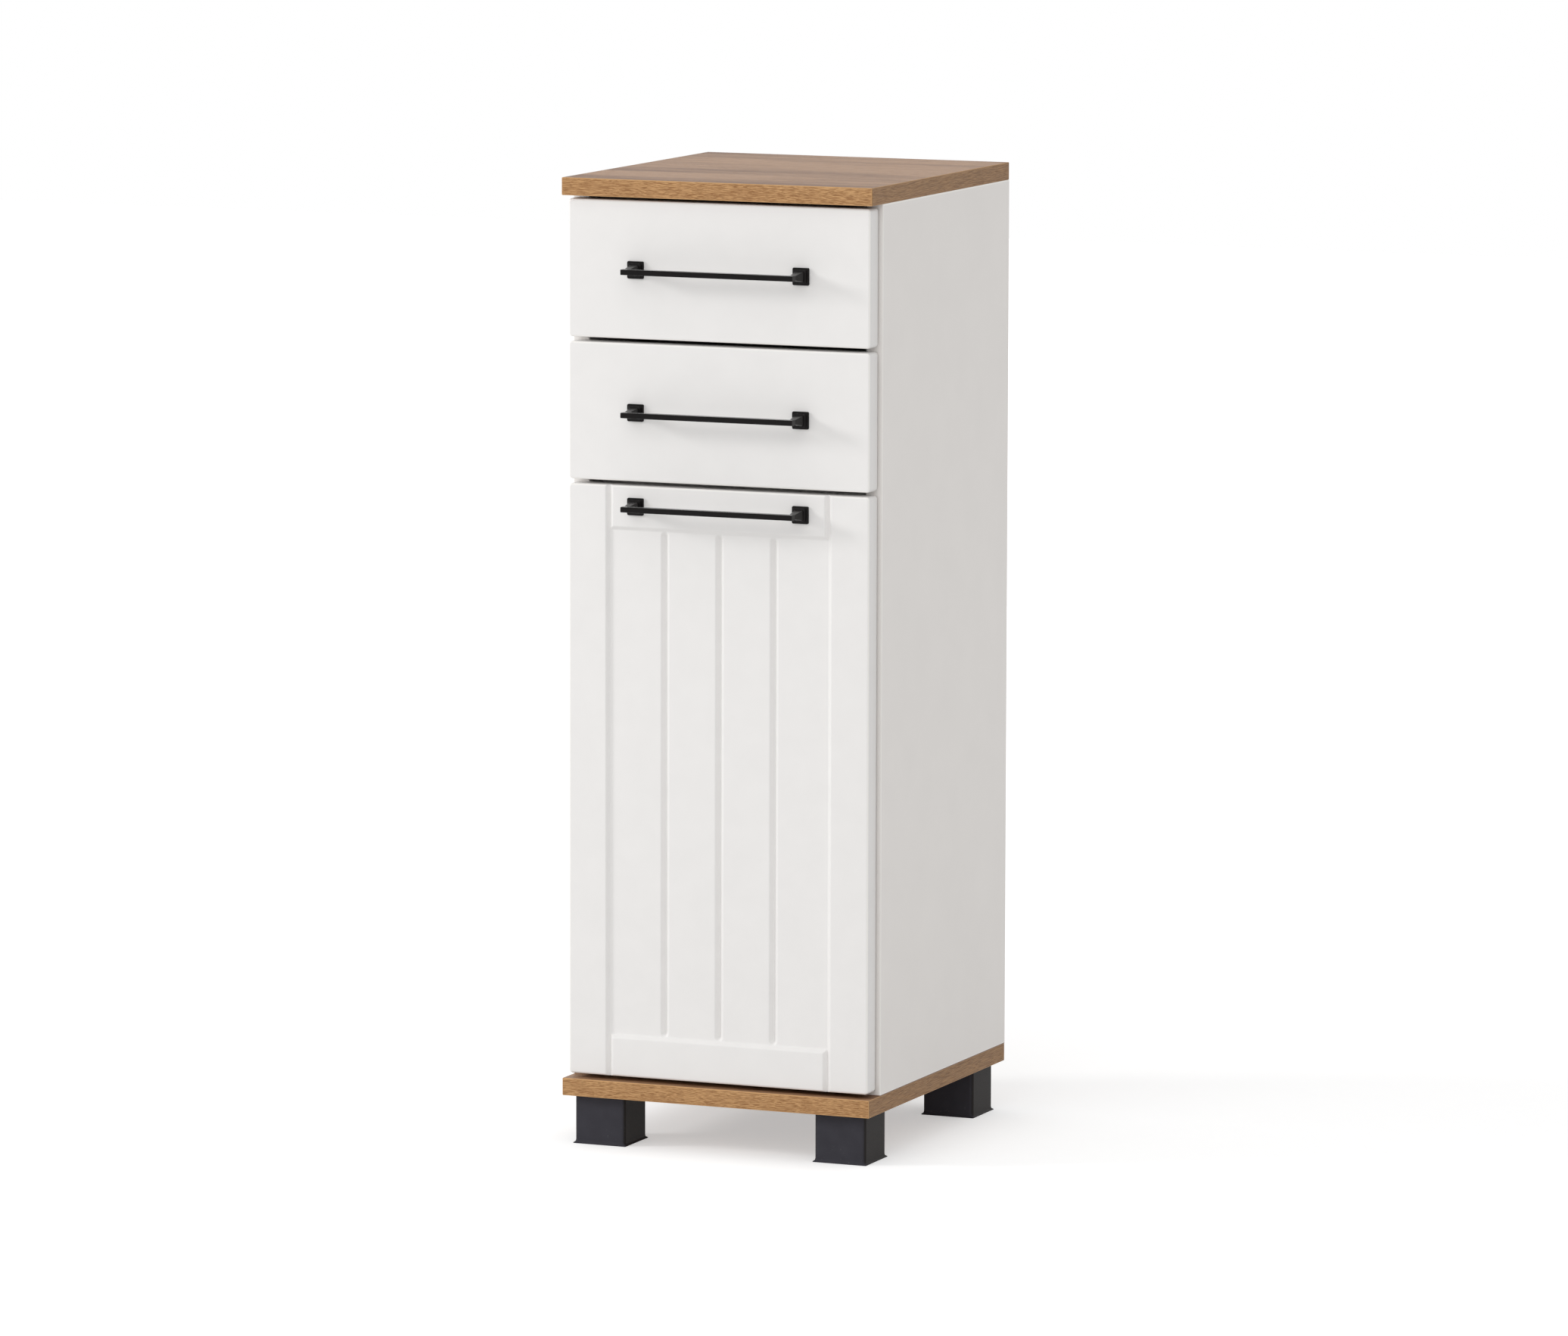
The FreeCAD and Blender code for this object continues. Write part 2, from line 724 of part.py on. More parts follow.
# Feet
def make_foot(label, column, row):
    """A hollow square foot that flares to a thin skirt on the floor."""
    piece = Piece(label, column, row, length(0))

    def square(size, corner):
        half = size / 2
        return lambda outline: outline.rounded(
            (column - half, row - half), (column + half, row + half), corner)

    rim = square(s.foot_base, s.foot_corner)
    body = square(s.foot_body, s.foot_corner)
    middle = square(s.foot_body + (s.foot_base - s.foot_body) / 4, s.foot_corner)
    piece.pad("z", length(0), s.foot_rim, rim)
    piece.loft("AdditiveLoft", "z", [s.foot_rim, s.foot_skirt / 2], [rim, middle])
    piece.loft("AdditiveLoft", "z", [s.foot_skirt / 2, s.foot_skirt], [middle, body])
    piece.pad("z", s.foot_skirt, s.foot_height - s.foot_skirt, body)
    hollow = s.foot_body - s.foot_wall * 2
    piece.pocket("z", length(0), s.foot_height - s.foot_deck,
                 square(hollow, s.foot_corner - s.foot_wall / 2))
    deck_low = s.foot_height - s.foot_deck
    piece.holes("z", deck_low, s.foot_deck, s.screw_radius, foot_screw_places(column, row))
    return piece


FOOT_NAMES = {(-1, 0): "front_left", (-1, 1): "back_left", (1, 0): "front_right", (1, 1): "back_right"}
for (side, end), name in FOOT_NAMES.items():
    make_foot("foot_" + name, foot_columns[side > 0], foot_rows[end])
foot_deck_low = s.foot_height - s.foot_deck
foot_screws = [wood_screw((x, y, foot_deck_low), "z", 1) for x, y in foot_screws_at]
group("foot_screws", foot_screws, (foot_columns[0], foot_rows[0], foot_deck_low))


# Handles: a bar on two flared posts with stepped square rosettes
def make_handle(label, level):
    bar_front = front_face - s.handle_reach
    bar_rear = bar_front + s.bar_thickness
    collar_front = front_face - s.rosette_step - s.collar_step
    bar_half = s.bar_length / 2
    piece = Piece(label, -bar_half, bar_front, level - s.rosette_size / 2)
    piece.pad("y", bar_front, s.bar_thickness, lambda outline: outline.rectangle(
        (-bar_half, level - s.bar_height / 2), (bar_half, level + s.bar_height / 2)))
    piece.fillet(s.bar_edge_radius, lambda edge: edge.Length > s.bar_height.value * 2
                 or edge.BoundBox.YMax < s.bar_edge_radius.value)
    for side in (-1, 1):
        post = s.handle_spacing / 2 * side

        def square(width, height, corner):
            half = width / 2
            half_tall = height / 2
            return lambda outline: outline.rounded(
                (post - half, level - half_tall), (post + half, level + half_tall), corner)

        tip = square(s.post_tip, s.bar_height - s.bar_edge_radius, s.bar_edge_radius)
        root = square(s.post_root, s.post_root, s.rosette_corner)
        bar_middle = bar_front + s.bar_thickness / 2
        piece.loft("AdditiveLoft", "y", [bar_middle, bar_rear], [tip, tip])
        piece.loft("AdditiveLoft", "y", [bar_rear, collar_front], [tip, root])
        piece.pad("y", collar_front, s.collar_step, square(s.collar_size, s.collar_size, s.rosette_corner))
        piece.pad("y", collar_front + s.collar_step, s.rosette_step,
                  square(s.rosette_size, s.rosette_size, s.rosette_corner))
        piece.holes("y", front_face, s.handle_screw_grip, s.handle_screw_radius, [(post, level)], -1)
    return piece


def handle_screws(label, level):
    """The two screws that hold a handle from behind its front."""
    shank = s.front_board + s.handle_screw_grip
    screws = []
    for side in (-1, 1):
        point = (s.handle_spacing / 2 * side, front_rear, level)
        screws.append(screw_shape(point, "y", -1, shank, s.handle_screw_radius,
                                  s.handle_head_height, s.handle_head_radius))
    group(label, screws, (-s.handle_spacing / 2, front_rear, level))


# Fronts
def make_front(label, low, top, handle_place):
    """A front board with rounded edges and corners, and its handle's bores."""
    piece = Piece(label, -front_half, front_face, low)
    piece.pad("y", front_face, s.front_board, lambda outline: outline.rectangle(
        (-front_half, low), (front_half, top)))
    piece.fillet(s.front_edge_radius, lambda edge: edge.BoundBox.YMax < s.overrun.value
                 or edge.BoundBox.YLength > s.front_board.value / 2)
    centres = [(s.handle_spacing / 2 * side, handle_place) for side in (-1, 1)]
    piece.holes("y", front_face, s.front_board, s.handle_screw_radius, centres)
    return piece


def bumpers(label, places):
    """Clear buffers stuck to the back of a front, where it meets the side panels."""
    thick = s.front_gap - s.bumper_play
    discs = [rod_shape((x, front_rear, z), "y", 1, thick, s.bumper_radius) for x, z in places]
    group(label, discs, (places[0][0], front_rear, places[0][1]))


# Drawers
def slide_profile(x_web, side, level, lip, half_height):
    """A channel's section: its web at x_web, its lips along side, half_height to its outside."""
    metal = s.slide_metal
    top = level + half_height
    low = level - half_height
    inner = x_web + metal * side
    tip = x_web + lip * side
    return [
        (x_web, low), (tip, low), (tip, low + metal), (inner, low + metal),
        (inner, top - metal), (tip, top - metal), (tip, top), (x_web, top),
    ]


def make_channel(label, x_web, side, level, lip, half_height, bored):
    """One member of a slide, a long channel; bored members have screw holes in the web."""
    low_x = x_web if side > 0 else x_web - lip
    low_z = level - half_height
    piece = Piece(label, low_x, slide_front, low_z)
    points = slide_profile(x_web, side, level, lip, half_height)
    piece.pad("y", slide_front, s.slide_length, lambda outline: outline.polygon(points))
    if bored:
        centres = [(y, level) for y in slide_screw_rows]
        piece.holes("x", x_web, s.slide_metal, s.screw_radius, centres, side)
    return piece


def make_slides(name):
    """Both slides of one drawer: rail on the side panel, middle member, runner on the box."""
    level = slide_level[name]
    rail_half = s.slide_height / 2
    middle_half = rail_half - s.slide_metal - s.slide_play
    runner_half = middle_half - s.slide_metal - s.slide_play
    middle_web = s.slide_metal + s.slide_head_room
    middle_lip = s.slide_width - s.slide_metal - s.slide_lip_play - middle_web
    runner_lip = s.slide_width - middle_web - s.slide_metal - s.slide_play
    runner_screws = []
    for side, hand in ((-1, "left"), (1, "right")):
        wall = inner_half * side
        box_wall = box_half * side
        make_channel("slide_rail_%s_%s" % (name, hand), wall, -side, level, s.slide_rail_lip,
                     rail_half, True)
        make_channel("slide_middle_%s_%s" % (name, hand), wall - middle_web * side, -side, level,
                     middle_lip, middle_half, False)
        make_channel("slide_runner_%s_%s" % (name, hand), box_wall, side, level, runner_lip,
                     runner_half, True)
        for y in slide_screw_rows:
            carcass_screws.append(wood_screw((wall - s.slide_metal * side, y, level), "x", side))
            point = (box_wall + s.slide_metal * side, y, level)
            runner_screws.append(screw_shape(
                point, "x", -side, s.box_board - s.slide_metal, s.screw_radius,
                s.screw_head_height, s.screw_head_radius))
    group("runner_screws_" + name, runner_screws, (-box_half, slide_screw_rows[0], level))


def make_drawer(name, low, top):
    """A drawer: its front, box, handle, screws, buffers and slides."""
    box_bottom = box_low[name]
    box_top = box_bottom + s.box_height
    base_low = box_bottom + s.box_base_lift
    base_top = base_low + s.box_base
    channel = s.channel_depth
    play = s.channel_play / 2
    level = handle_level[name]

    front = make_front("drawer_front_" + name, low, top, level)
    front.pocket("y", front_rear, channel, lambda outline: outline.rectangle(
        (-(box_inner + channel), base_low - play), (box_inner + channel, base_top + play)), -1)

    for side, hand in ((-1, "left"), (1, "right")):
        low_x = -box_half if side < 0 else box_inner
        inner = box_inner * side
        outer = box_half * side
        wall = Piece("drawer_side_%s_%s" % (name, hand), low_x, front_rear, box_bottom)
        wall.pad("x", low_x, s.box_board, lambda outline: outline.rectangle(
            (front_rear, box_bottom), (box_rear, box_top)))
        wall.pocket("x", inner, channel, lambda outline: outline.rectangle(
            (front_rear, base_low - play), (box_rear, base_top + play)), side)
        wall.holes("x", outer, s.box_board - s.slide_metal * 2, s.screw_radius,
                   [(y, slide_level[name]) for y in slide_screw_rows], -side)

    keep(block("drawer_back_" + name,
               (-box_inner, box_rear - s.box_board, base_top),
               (box_inner, box_rear, box_top)), "drawer_back_" + name)
    reach = box_inner + channel - s.channel_play
    keep(block("drawer_base_" + name,
               (-reach, front_rear - channel + s.channel_play, base_low),
               (reach, box_rear, base_top)), "drawer_base_" + name)

    make_handle("handle_" + name, level)
    handle_screws("handle_screws_" + name, level)
    buffer_x = front_half - s.bumper_inset
    buffer_z = s.bumper_inset * 2
    places = [(buffer_x * side, z) for side in (-1, 1) for z in (low + buffer_z, top - buffer_z)]
    bumpers("bumpers_" + name, places)
    make_slides(name)


make_drawer("upper", upper_low, upper_top)
make_drawer("lower", lower_low, lower_top)

# Door with a grooved face
door = make_front("door", door_low, door_top, handle_level["door"])


def vee(middle, depth):
    """A vee across the face, whose sides fall at 45 degrees."""
    return lambda outline: outline.polygon([
        (middle - depth, front_face), (middle + depth, front_face), (middle, front_face + depth)])


for side in (-1, 1):
    stile = s.stile_groove_place * side
    door.pocket("z", door_low, door_top - door_low, vee(stile, s.panel_depth))
recess_low = door_low + s.bottom_rail
recess_top = door_top - s.top_rail


def recess(shrink):
    """The sunk panel's outline, shrunk all round."""
    half = s.stile_groove_place + s.panel_depth - shrink
    return lambda outline: outline.rectangle((-half, recess_low + shrink), (half, recess_top - shrink))


panel_face = front_face + s.panel_depth
door.loft("SubtractiveLoft", "y", [front_face, panel_face], [recess(length(0)), recess(s.panel_depth)])
groove_low = recess_low + s.panel_depth + s.plank_groove_radius
groove_top = recess_top - s.panel_depth - s.plank_groove_radius
groove_floor = panel_face + s.plank_groove_radius - s.plank_groove_flat
for step in (-1, 0, 1):
    plank_edge = s.plank_pitch * step
    door.loft("SubtractiveLoft", "y", [panel_face, groove_floor], [
        lambda outline: outline.slot(plank_edge, groove_low, groove_top, s.plank_groove_radius),
        lambda outline: outline.slot(plank_edge, groove_low, groove_top, s.plank_groove_flat)])
for level in hinge_levels.values():
    rebate_half = s.hinge_height / 2 + s.knuckle_play
    door.pocket("y", front_rear, s.rebate_depth, lambda outline: outline.rectangle(
        (-front_half, level - rebate_half), (-front_half + s.rebate_width, level + rebate_half)), -1)
door.holes("y", front_rear, hinge_bore, s.screw_radius, [(leaf_screw_x, z) for z in hinge_screw_levels], -1)
door.holes("y", front_rear, s.screw_length - s.strike_plate, s.screw_radius,
           [(catch_middle, z) for z in catch_screw_levels], -1)
make_handle("handle_door", handle_level["door"])
handle_screws("handle_screws_door", handle_level["door"])
door_buffer_x = front_half - s.bumper_inset
bumpers("bumpers_door", [(door_buffer_x, door_low + s.bumper_inset * 2),
                         (door_buffer_x, door_top - s.bumper_inset * 2)])


# Hinges: a leaf on the side panel's edge, a leaf on the door's back, and a pin
def make_hinge(name, level):
    low = level - s.hinge_height / 2
    third = s.hinge_height / 3
    leaf_end = pin_x + s.knuckle_radius + s.leaf_width
    clear = pin_x + s.knuckle_radius + s.knuckle_play
    bore = s.pin_radius + s.pin_play
    screw_levels = [level - s.hinge_screw_spacing / 2, level + s.hinge_screw_spacing / 2]

    frame_low = side_edge - s.leaf_metal
    frame_leaf = block("frame_leaf", (pin_x, frame_low, low), (leaf_end, side_edge, low + s.hinge_height))
    frame_knuckles = [
        rod("frame_knuckle", "z", (pin_x, pin_y, low), third, s.knuckle_radius),
        rod("frame_knuckle", "z", (pin_x, pin_y, low + third * 2), third, s.knuckle_radius),
    ]
    window = block("window", (pin_x - s.overrun, frame_low - s.overrun, low + third - s.knuckle_play),
                   (clear, side_edge + s.overrun, low + third * 2 + s.knuckle_play))
    leaf_cut = cut("frame_leaf_cut", frame_leaf, [window])
    frame_bores = [rod("screw_bore", "y", (leaf_screw_x, frame_low - s.overrun, z),
                       s.leaf_metal + s.overrun * 2, s.screw_radius) for z in screw_levels]
    frame_bores.append(rod("pin_bore", "z", (pin_x, pin_y, low - s.overrun),
                           s.hinge_height + s.overrun * 2, s.pin_radius))
    frame_body = fuse("frame_leaf_body", [leaf_cut] + frame_knuckles)
    keep(cut("hinge_frame_leaf_" + name, frame_body, frame_bores), "hinge_frame_leaf_" + name)

    door_leaf = block("door_leaf", (clear, front_rear, low),
                      (leaf_end, front_rear + s.leaf_metal, low + s.hinge_height))
    tongue_low = low + third + s.knuckle_play
    tongue_top = low + third * 2 - s.knuckle_play
    tongue = block("tongue", (pin_x, front_rear, tongue_low),
                   (clear + s.overrun, front_rear + s.leaf_metal, tongue_top))
    knuckle = rod("door_knuckle", "z", (pin_x, pin_y, tongue_low), tongue_top - tongue_low,
                  s.knuckle_radius)
    door_bores = [rod("screw_bore", "y", (leaf_screw_x, front_rear - s.overrun, z),
                      s.leaf_metal + s.overrun * 2, s.screw_radius) for z in screw_levels]
    door_bores.append(rod("pin_bore", "z", (pin_x, pin_y, low), s.hinge_height, bore))
    door_body = fuse("door_leaf_body", [door_leaf, tongue, knuckle])
    keep(cut("hinge_door_leaf_" + name, door_body, door_bores), "hinge_door_leaf_" + name)


for name, level in hinge_levels.items():
    make_hinge(name, level)
pins = []
for level in hinge_levels.values():
    pins.append(rod_shape((pin_x, pin_y, level - s.hinge_height / 2), "z", 1, s.hinge_height, s.pin_radius))
group("hinge_pins", pins, (pin_x, pin_y, hinge_levels["lower"]))


def flat_screw(point, axis, sign):
    """A countersunk screw that ends flush with the thin plate it holds."""
    return rod_shape(point, axis, sign, s.screw_length, s.screw_radius)


for z in hinge_screw_levels:
    carcass_screws.append(flat_screw((leaf_screw_x, side_edge - s.leaf_metal, z), "y", 1))
    door_screws.append(flat_screw((leaf_screw_x, front_rear + s.leaf_metal, z), "y", -1))

# Magnetic catch on the right side panel and its strike plate on the door
catch_front = front_rear + s.strike_plate + s.catch_play
catch_low = catch_level - s.catch_height / 2
catch_body = block("catch_body", (inner_half - s.catch_width, catch_front, catch_low),
                   (inner_half, catch_front + s.catch_depth, catch_low + s.catch_height))
catch_bores = [rod("catch_bore", "x", (inner_half - s.catch_width - s.overrun, catch_screw_y, z),
                   s.catch_width + s.overrun * 2, s.screw_radius) for z in catch_screw_levels]
catch_sinks = [rod("catch_sink", "x", (inner_half - s.catch_width - s.overrun, catch_screw_y, z),
                   s.catch_width / 2 + s.overrun, s.screw_head_radius) for z in catch_screw_levels]
keep(cut("magnetic_catch", catch_body, catch_bores + catch_sinks), "magnetic_catch")
for z in catch_screw_levels:
    carcass_screws.append(wood_screw((inner_half - s.catch_width / 2, catch_screw_y, z), "x", 1))
    door_screws.append(flat_screw((catch_middle, front_rear + s.strike_plate, z), "y", -1))

strike = block("strike", (catch_middle - s.catch_width / 2, front_rear, catch_low),
               (catch_middle + s.catch_width / 2, front_rear + s.strike_plate, catch_low + s.catch_height))
strike_bores = [rod("strike_bore", "y", (catch_middle, front_rear - s.overrun, z),
                    s.strike_plate + s.overrun * 2, s.screw_radius) for z in catch_screw_levels]
keep(cut("strike_plate", strike, strike_bores), "strike_plate")

# Wall bracket under the top panel, against the back panel
bracket_half = s.bracket_width / 2
bracket_legs = [
    block("bracket_top", (-bracket_half, back_panel_front - s.bracket_leg, ceiling - s.bracket_metal),
          (bracket_half, back_panel_front, ceiling)),
    block("bracket_wall", (-bracket_half, back_panel_front - s.bracket_metal, ceiling - s.bracket_leg),
          (bracket_half, back_panel_front, ceiling)),
]
bracket_bores = [
    rod("top_bore", "z", (bracket_screw[0], bracket_screw[1], ceiling - s.bracket_metal - s.overrun),
        s.bracket_metal + s.overrun * 2, s.screw_radius),
    rod("wall_bore", "y", (0, back_panel_front - s.bracket_metal - s.overrun, bracket_middle),
        s.bracket_metal + s.overrun * 2, s.wall_screw_radius),
]
keep(cut("wall_bracket", fuse("bracket_angle", bracket_legs), bracket_bores), "wall_bracket")
bracket_point = (bracket_screw[0], bracket_screw[1], ceiling - s.bracket_metal)
carcass_screws.append(wood_screw(bracket_point, "z", 1))

# Screws of the carcass and of the door
group("carcass_screws", carcass_screws, (-inner_half, side_edge, hinge_screw_levels[0]))
group("door_screws", door_screws, (leaf_screw_x, front_rear, hinge_screw_levels[0]))

doc.recompute()

# Every object is sound and every piece is whole before anything is written
faults = [item.Label for item in doc.Objects if {"Invalid", "Error"} & set(item.State)]
for item in parts:
    if item.Shape.isNull() or not item.Shape.isValid() or not item.Shape.Solids:
        faults.append(item.Label)
if faults:
    raise RuntimeError("unsound pieces: " + ", ".join(faults))
os.makedirs("parts", exist_ok=True)
for item in parts:
    item.Shape.exportStep("parts/%s.step" % item.Label)
print(len(parts), "pieces,", sum(len(item.Shape.Solids) for item in parts), "solids")
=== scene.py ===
import math

import bpy
import numpy as np
from bpy.props import FloatProperty, FloatVectorProperty, PointerProperty
from mathutils import Matrix, Vector


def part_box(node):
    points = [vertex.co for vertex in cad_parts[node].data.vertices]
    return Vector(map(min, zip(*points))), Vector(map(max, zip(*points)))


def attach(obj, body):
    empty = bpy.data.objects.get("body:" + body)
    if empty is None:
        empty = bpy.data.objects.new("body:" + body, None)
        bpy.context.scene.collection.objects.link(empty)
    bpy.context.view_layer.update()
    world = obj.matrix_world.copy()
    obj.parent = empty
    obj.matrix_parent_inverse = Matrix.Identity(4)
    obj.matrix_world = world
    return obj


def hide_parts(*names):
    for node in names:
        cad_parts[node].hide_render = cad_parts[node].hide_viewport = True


bl_info = {
    "name": "Narrow base cabinet",
    "version": (1, 0, 0),
    "blender": (4, 5, 0),
    "location": "3D View > Sidebar > Cabinet",
    "description": "Dresses a base cabinet: fronts, handles, feet, fasteners, finishes and a studio",
    "category": "Add Mesh",
}

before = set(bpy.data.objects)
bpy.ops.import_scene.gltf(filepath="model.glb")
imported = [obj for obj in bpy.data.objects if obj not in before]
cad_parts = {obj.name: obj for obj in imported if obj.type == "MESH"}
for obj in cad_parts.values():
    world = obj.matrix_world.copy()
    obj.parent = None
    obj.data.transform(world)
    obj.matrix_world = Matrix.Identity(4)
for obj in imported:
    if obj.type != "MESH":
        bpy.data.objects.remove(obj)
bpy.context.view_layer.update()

# Points that are nearer to each other than this become one vertex
WELD = 1e-7
# Two rows this far apart make the upright end of a rebate
REBATE_STEP = WELD * 100
# Edges that turn more than this stay sharp
SHARP_ANGLE = math.radians(32)
# Points in a quarter of a rounding and in a quarter of a buffer, and steps across a softened corner
CORNER_STEPS = 5
ROUND_STEPS = 7
SOFT_STEPS = 4
DRAWERS = ("upper", "lower")
FRONTS = {"upper": "drawer_front_upper", "lower": "drawer_front_lower", "door": "door"}
FRONT_BODIES = {"upper": "drawer_upper", "lower": "drawer_lower", "door": "door_leaf"}
FEET = ("front_left", "front_right", "back_left", "back_right")


# Values that a user can change


def paint(red, green, blue):
    """A colour off a chart, 0 to 255 a channel, as the linear values that a shader takes."""
    chart = np.array([red, green, blue]) / 255
    linear = np.where(chart <= 0.04045, chart / 12.92, ((chart + 0.055) / 1.055) ** 2.4)
    return tuple(float(value) for value in linear)


def size(name, metres, description):
    return FloatProperty(
        name=name, description=description, default=metres, min=0, precision=5,
        unit="LENGTH", subtype="DISTANCE")


def offset(name, metres, description):
    """As size, for a place that may lie on either side."""
    return FloatProperty(
        name=name, description=description, default=metres, precision=5,
        unit="LENGTH", subtype="DISTANCE")


def point(name, parts, description, subtype):
    return FloatVectorProperty(name=name, description=description, default=parts, subtype=subtype)


def colour(name, chart, description):
    return FloatVectorProperty(
        name=name, description=description, default=paint(*chart), size=3, min=0, max=1,
        subtype="COLOR")


def angle(name, degrees, description):
    return FloatProperty(
        name=name, description=description, default=math.radians(degrees), subtype="ANGLE")


def number(name, value, description):
    return FloatProperty(name=name, description=description, default=value, min=0)


class FrontSizes(bpy.types.PropertyGroup):
    """Sizes of the two drawer fronts and the door."""

    arris: size("Arris", 0.002, "Rounding of a front's edges and corners")
    corner: size("Corner", 0.0032, "Rounding of a front's four corners as seen from the front")
    rear_arris: size("Rear arris", 0.0003, "Rounding of the edges at the back of a front")
    foil: size("Foil", 0.0007, "How far the foil rounds off the edges of the milling")
    groove_place: size("Stile groove", 0.1062, "Middle of a stile groove from the door's middle")
    groove_depth: size("Milling depth", 0.0034, "Depth of the stile grooves and of the panel")
    top_rail: size("Top rail", 0.037, "Height of the door's top rail")
    bottom_rail: size("Bottom rail", 0.035, "Height of the door's bottom rail")
    plank_pitch: size("Plank", 0.053, "From one groove of the panel to the next")
    plank_groove: size("Plank groove", 0.0038, "Half the width of a groove of the panel")
    plank_flat: size("Plank groove floor", 0.0004, "Half the width of such a groove's floor")
    rebate_width: size("Rebate width", 0.001, "Width of the rebate for a hinge's knuckles")
    rebate_depth: size("Rebate depth", 0.0032, "Depth of that rebate from the door's back")
    rebate_play: size("Rebate play", 0.0003, "How far it runs past the hinge")
    coarse: size("Wide grid", 0.02, "Grid of the plain areas")
    fine: size("Close grid", 0.00045, "Grid across the milling")


class HandleSizes(bpy.types.PropertyGroup):
    """Sizes of the three handles."""

    bar_thickness: size("Bar thickness", 0.008, "From the bar's front to its back")
    bar_height: size("Bar height", 0.0049, "Height of the bar")
    bar_arris: size("Bar arris", 0.0008, "Rounding of the bar's long edges")
    bar_end: size("Bar end", 0.0004, "Rounding round the bar's ends")
    tenon: size("Tenon", 0.0005, "How much less than its tip a post measures inside the bar")
    spacing: size("Spacing", 0.16, "From one post to the other")
    tip_width: size("Post tip", 0.006, "Width of a post at the bar")
    root_width: size("Post root", 0.0094, "Width of a post at its collar")
    collar_width: size("Collar", 0.012, "Width of the collar")
    collar_step: size("Collar step", 0.002, "Height of the collar on the rosette")
    rosette_width: size("Rosette", 0.0157, "Width of the rosette")
    rosette_step: size("Rosette step", 0.0022, "Height of the rosette on the front")
    rosette_corner: size("Rosette corner", 0.0013, "Rounding of the rosette's corners")
    mould: size("Mould edge", 0.0007, "Softness of the cast edges")


class FootSizes(bpy.types.PropertyGroup):
    """Sizes of the four feet."""

    body_width: size("Body", 0.0492, "Width of the body above the skirt")
    corner: size("Corner", 0.0035, "Rounding of the upright corners")
    skirt_corner: size("Skirt corner", 0.001, "Rounding of the skirt's corners")
    rim: size("Rim", 0.0006, "Height of the skirt's upright rim")
    skirt: size("Skirt", 0.0035, "Height at which the skirt ends")
    wall: size("Wall", 0.003, "Thickness of the wall")
    deck: size("Deck", 0.004, "Thickness of the plate under the bottom board")
    mould: size("Mould edge", 0.0004, "Softness of the moulded edges")
    screw_spread: size("Screws", 0.028, "From one screw to the next")


class FastenerSizes(bpy.types.PropertyGroup):
    """Sizes of the screws and the buffers."""

    small_head: size("Small head", 0.003, "Radius of a wood screw's head")
    small_head_height: size("Small head height", 0.0016, "Height of that head")
    small_shank: size("Small shank", 0.0015, "Radius of that screw's shank")
    small_length: size("Small length", 0.012, "Length of that shank")
    large_head: size("Handle screw head", 0.004, "Radius of a handle screw's head")
    large_head_height: size("Handle screw head height", 0.0022, "Height of that head")
    large_shank: size("Handle screw shank", 0.002, "Radius of that screw's shank")
    handle_grip: size("Handle grip", 0.009, "How far a handle screw goes into its post")
    inset_row: size("Slide screw inset", 0.035, "From a slide's front to its first screw")
    row_pitch: size("Slide screw pitch", 0.128, "From that screw to the next")
    slide_metal: size("Slide metal", 0.0012, "Thickness of a slide's metal under the heads")
    box_length: size("Box screw length", 0.0108, "Length of a screw into a drawer's side")
    hinge_pitch: size("Hinge screw pitch", 0.034, "From one screw of a hinge to the other")
    leaf_metal: size("Leaf metal", 0.0009, "Thickness of a hinge's leaf")
    leaf_inset: size("Leaf screw inset", 0.0047, "From a leaf's free edge to its screws")
    bracket_metal: size("Bracket metal", 0.002, "Thickness of the wall bracket")
    catch_pitch: size("Catch screw pitch", 0.022, "From one screw of the catch to the other")
    buffer_radius: size("Buffer radius", 0.004, "Radius of a clear buffer")
    buffer_height: size("Buffer height", 0.0018, "Height of a clear buffer")
    buffer_inset: size("Buffer inset", 0.007, "From a front's side to the buffer's middle")


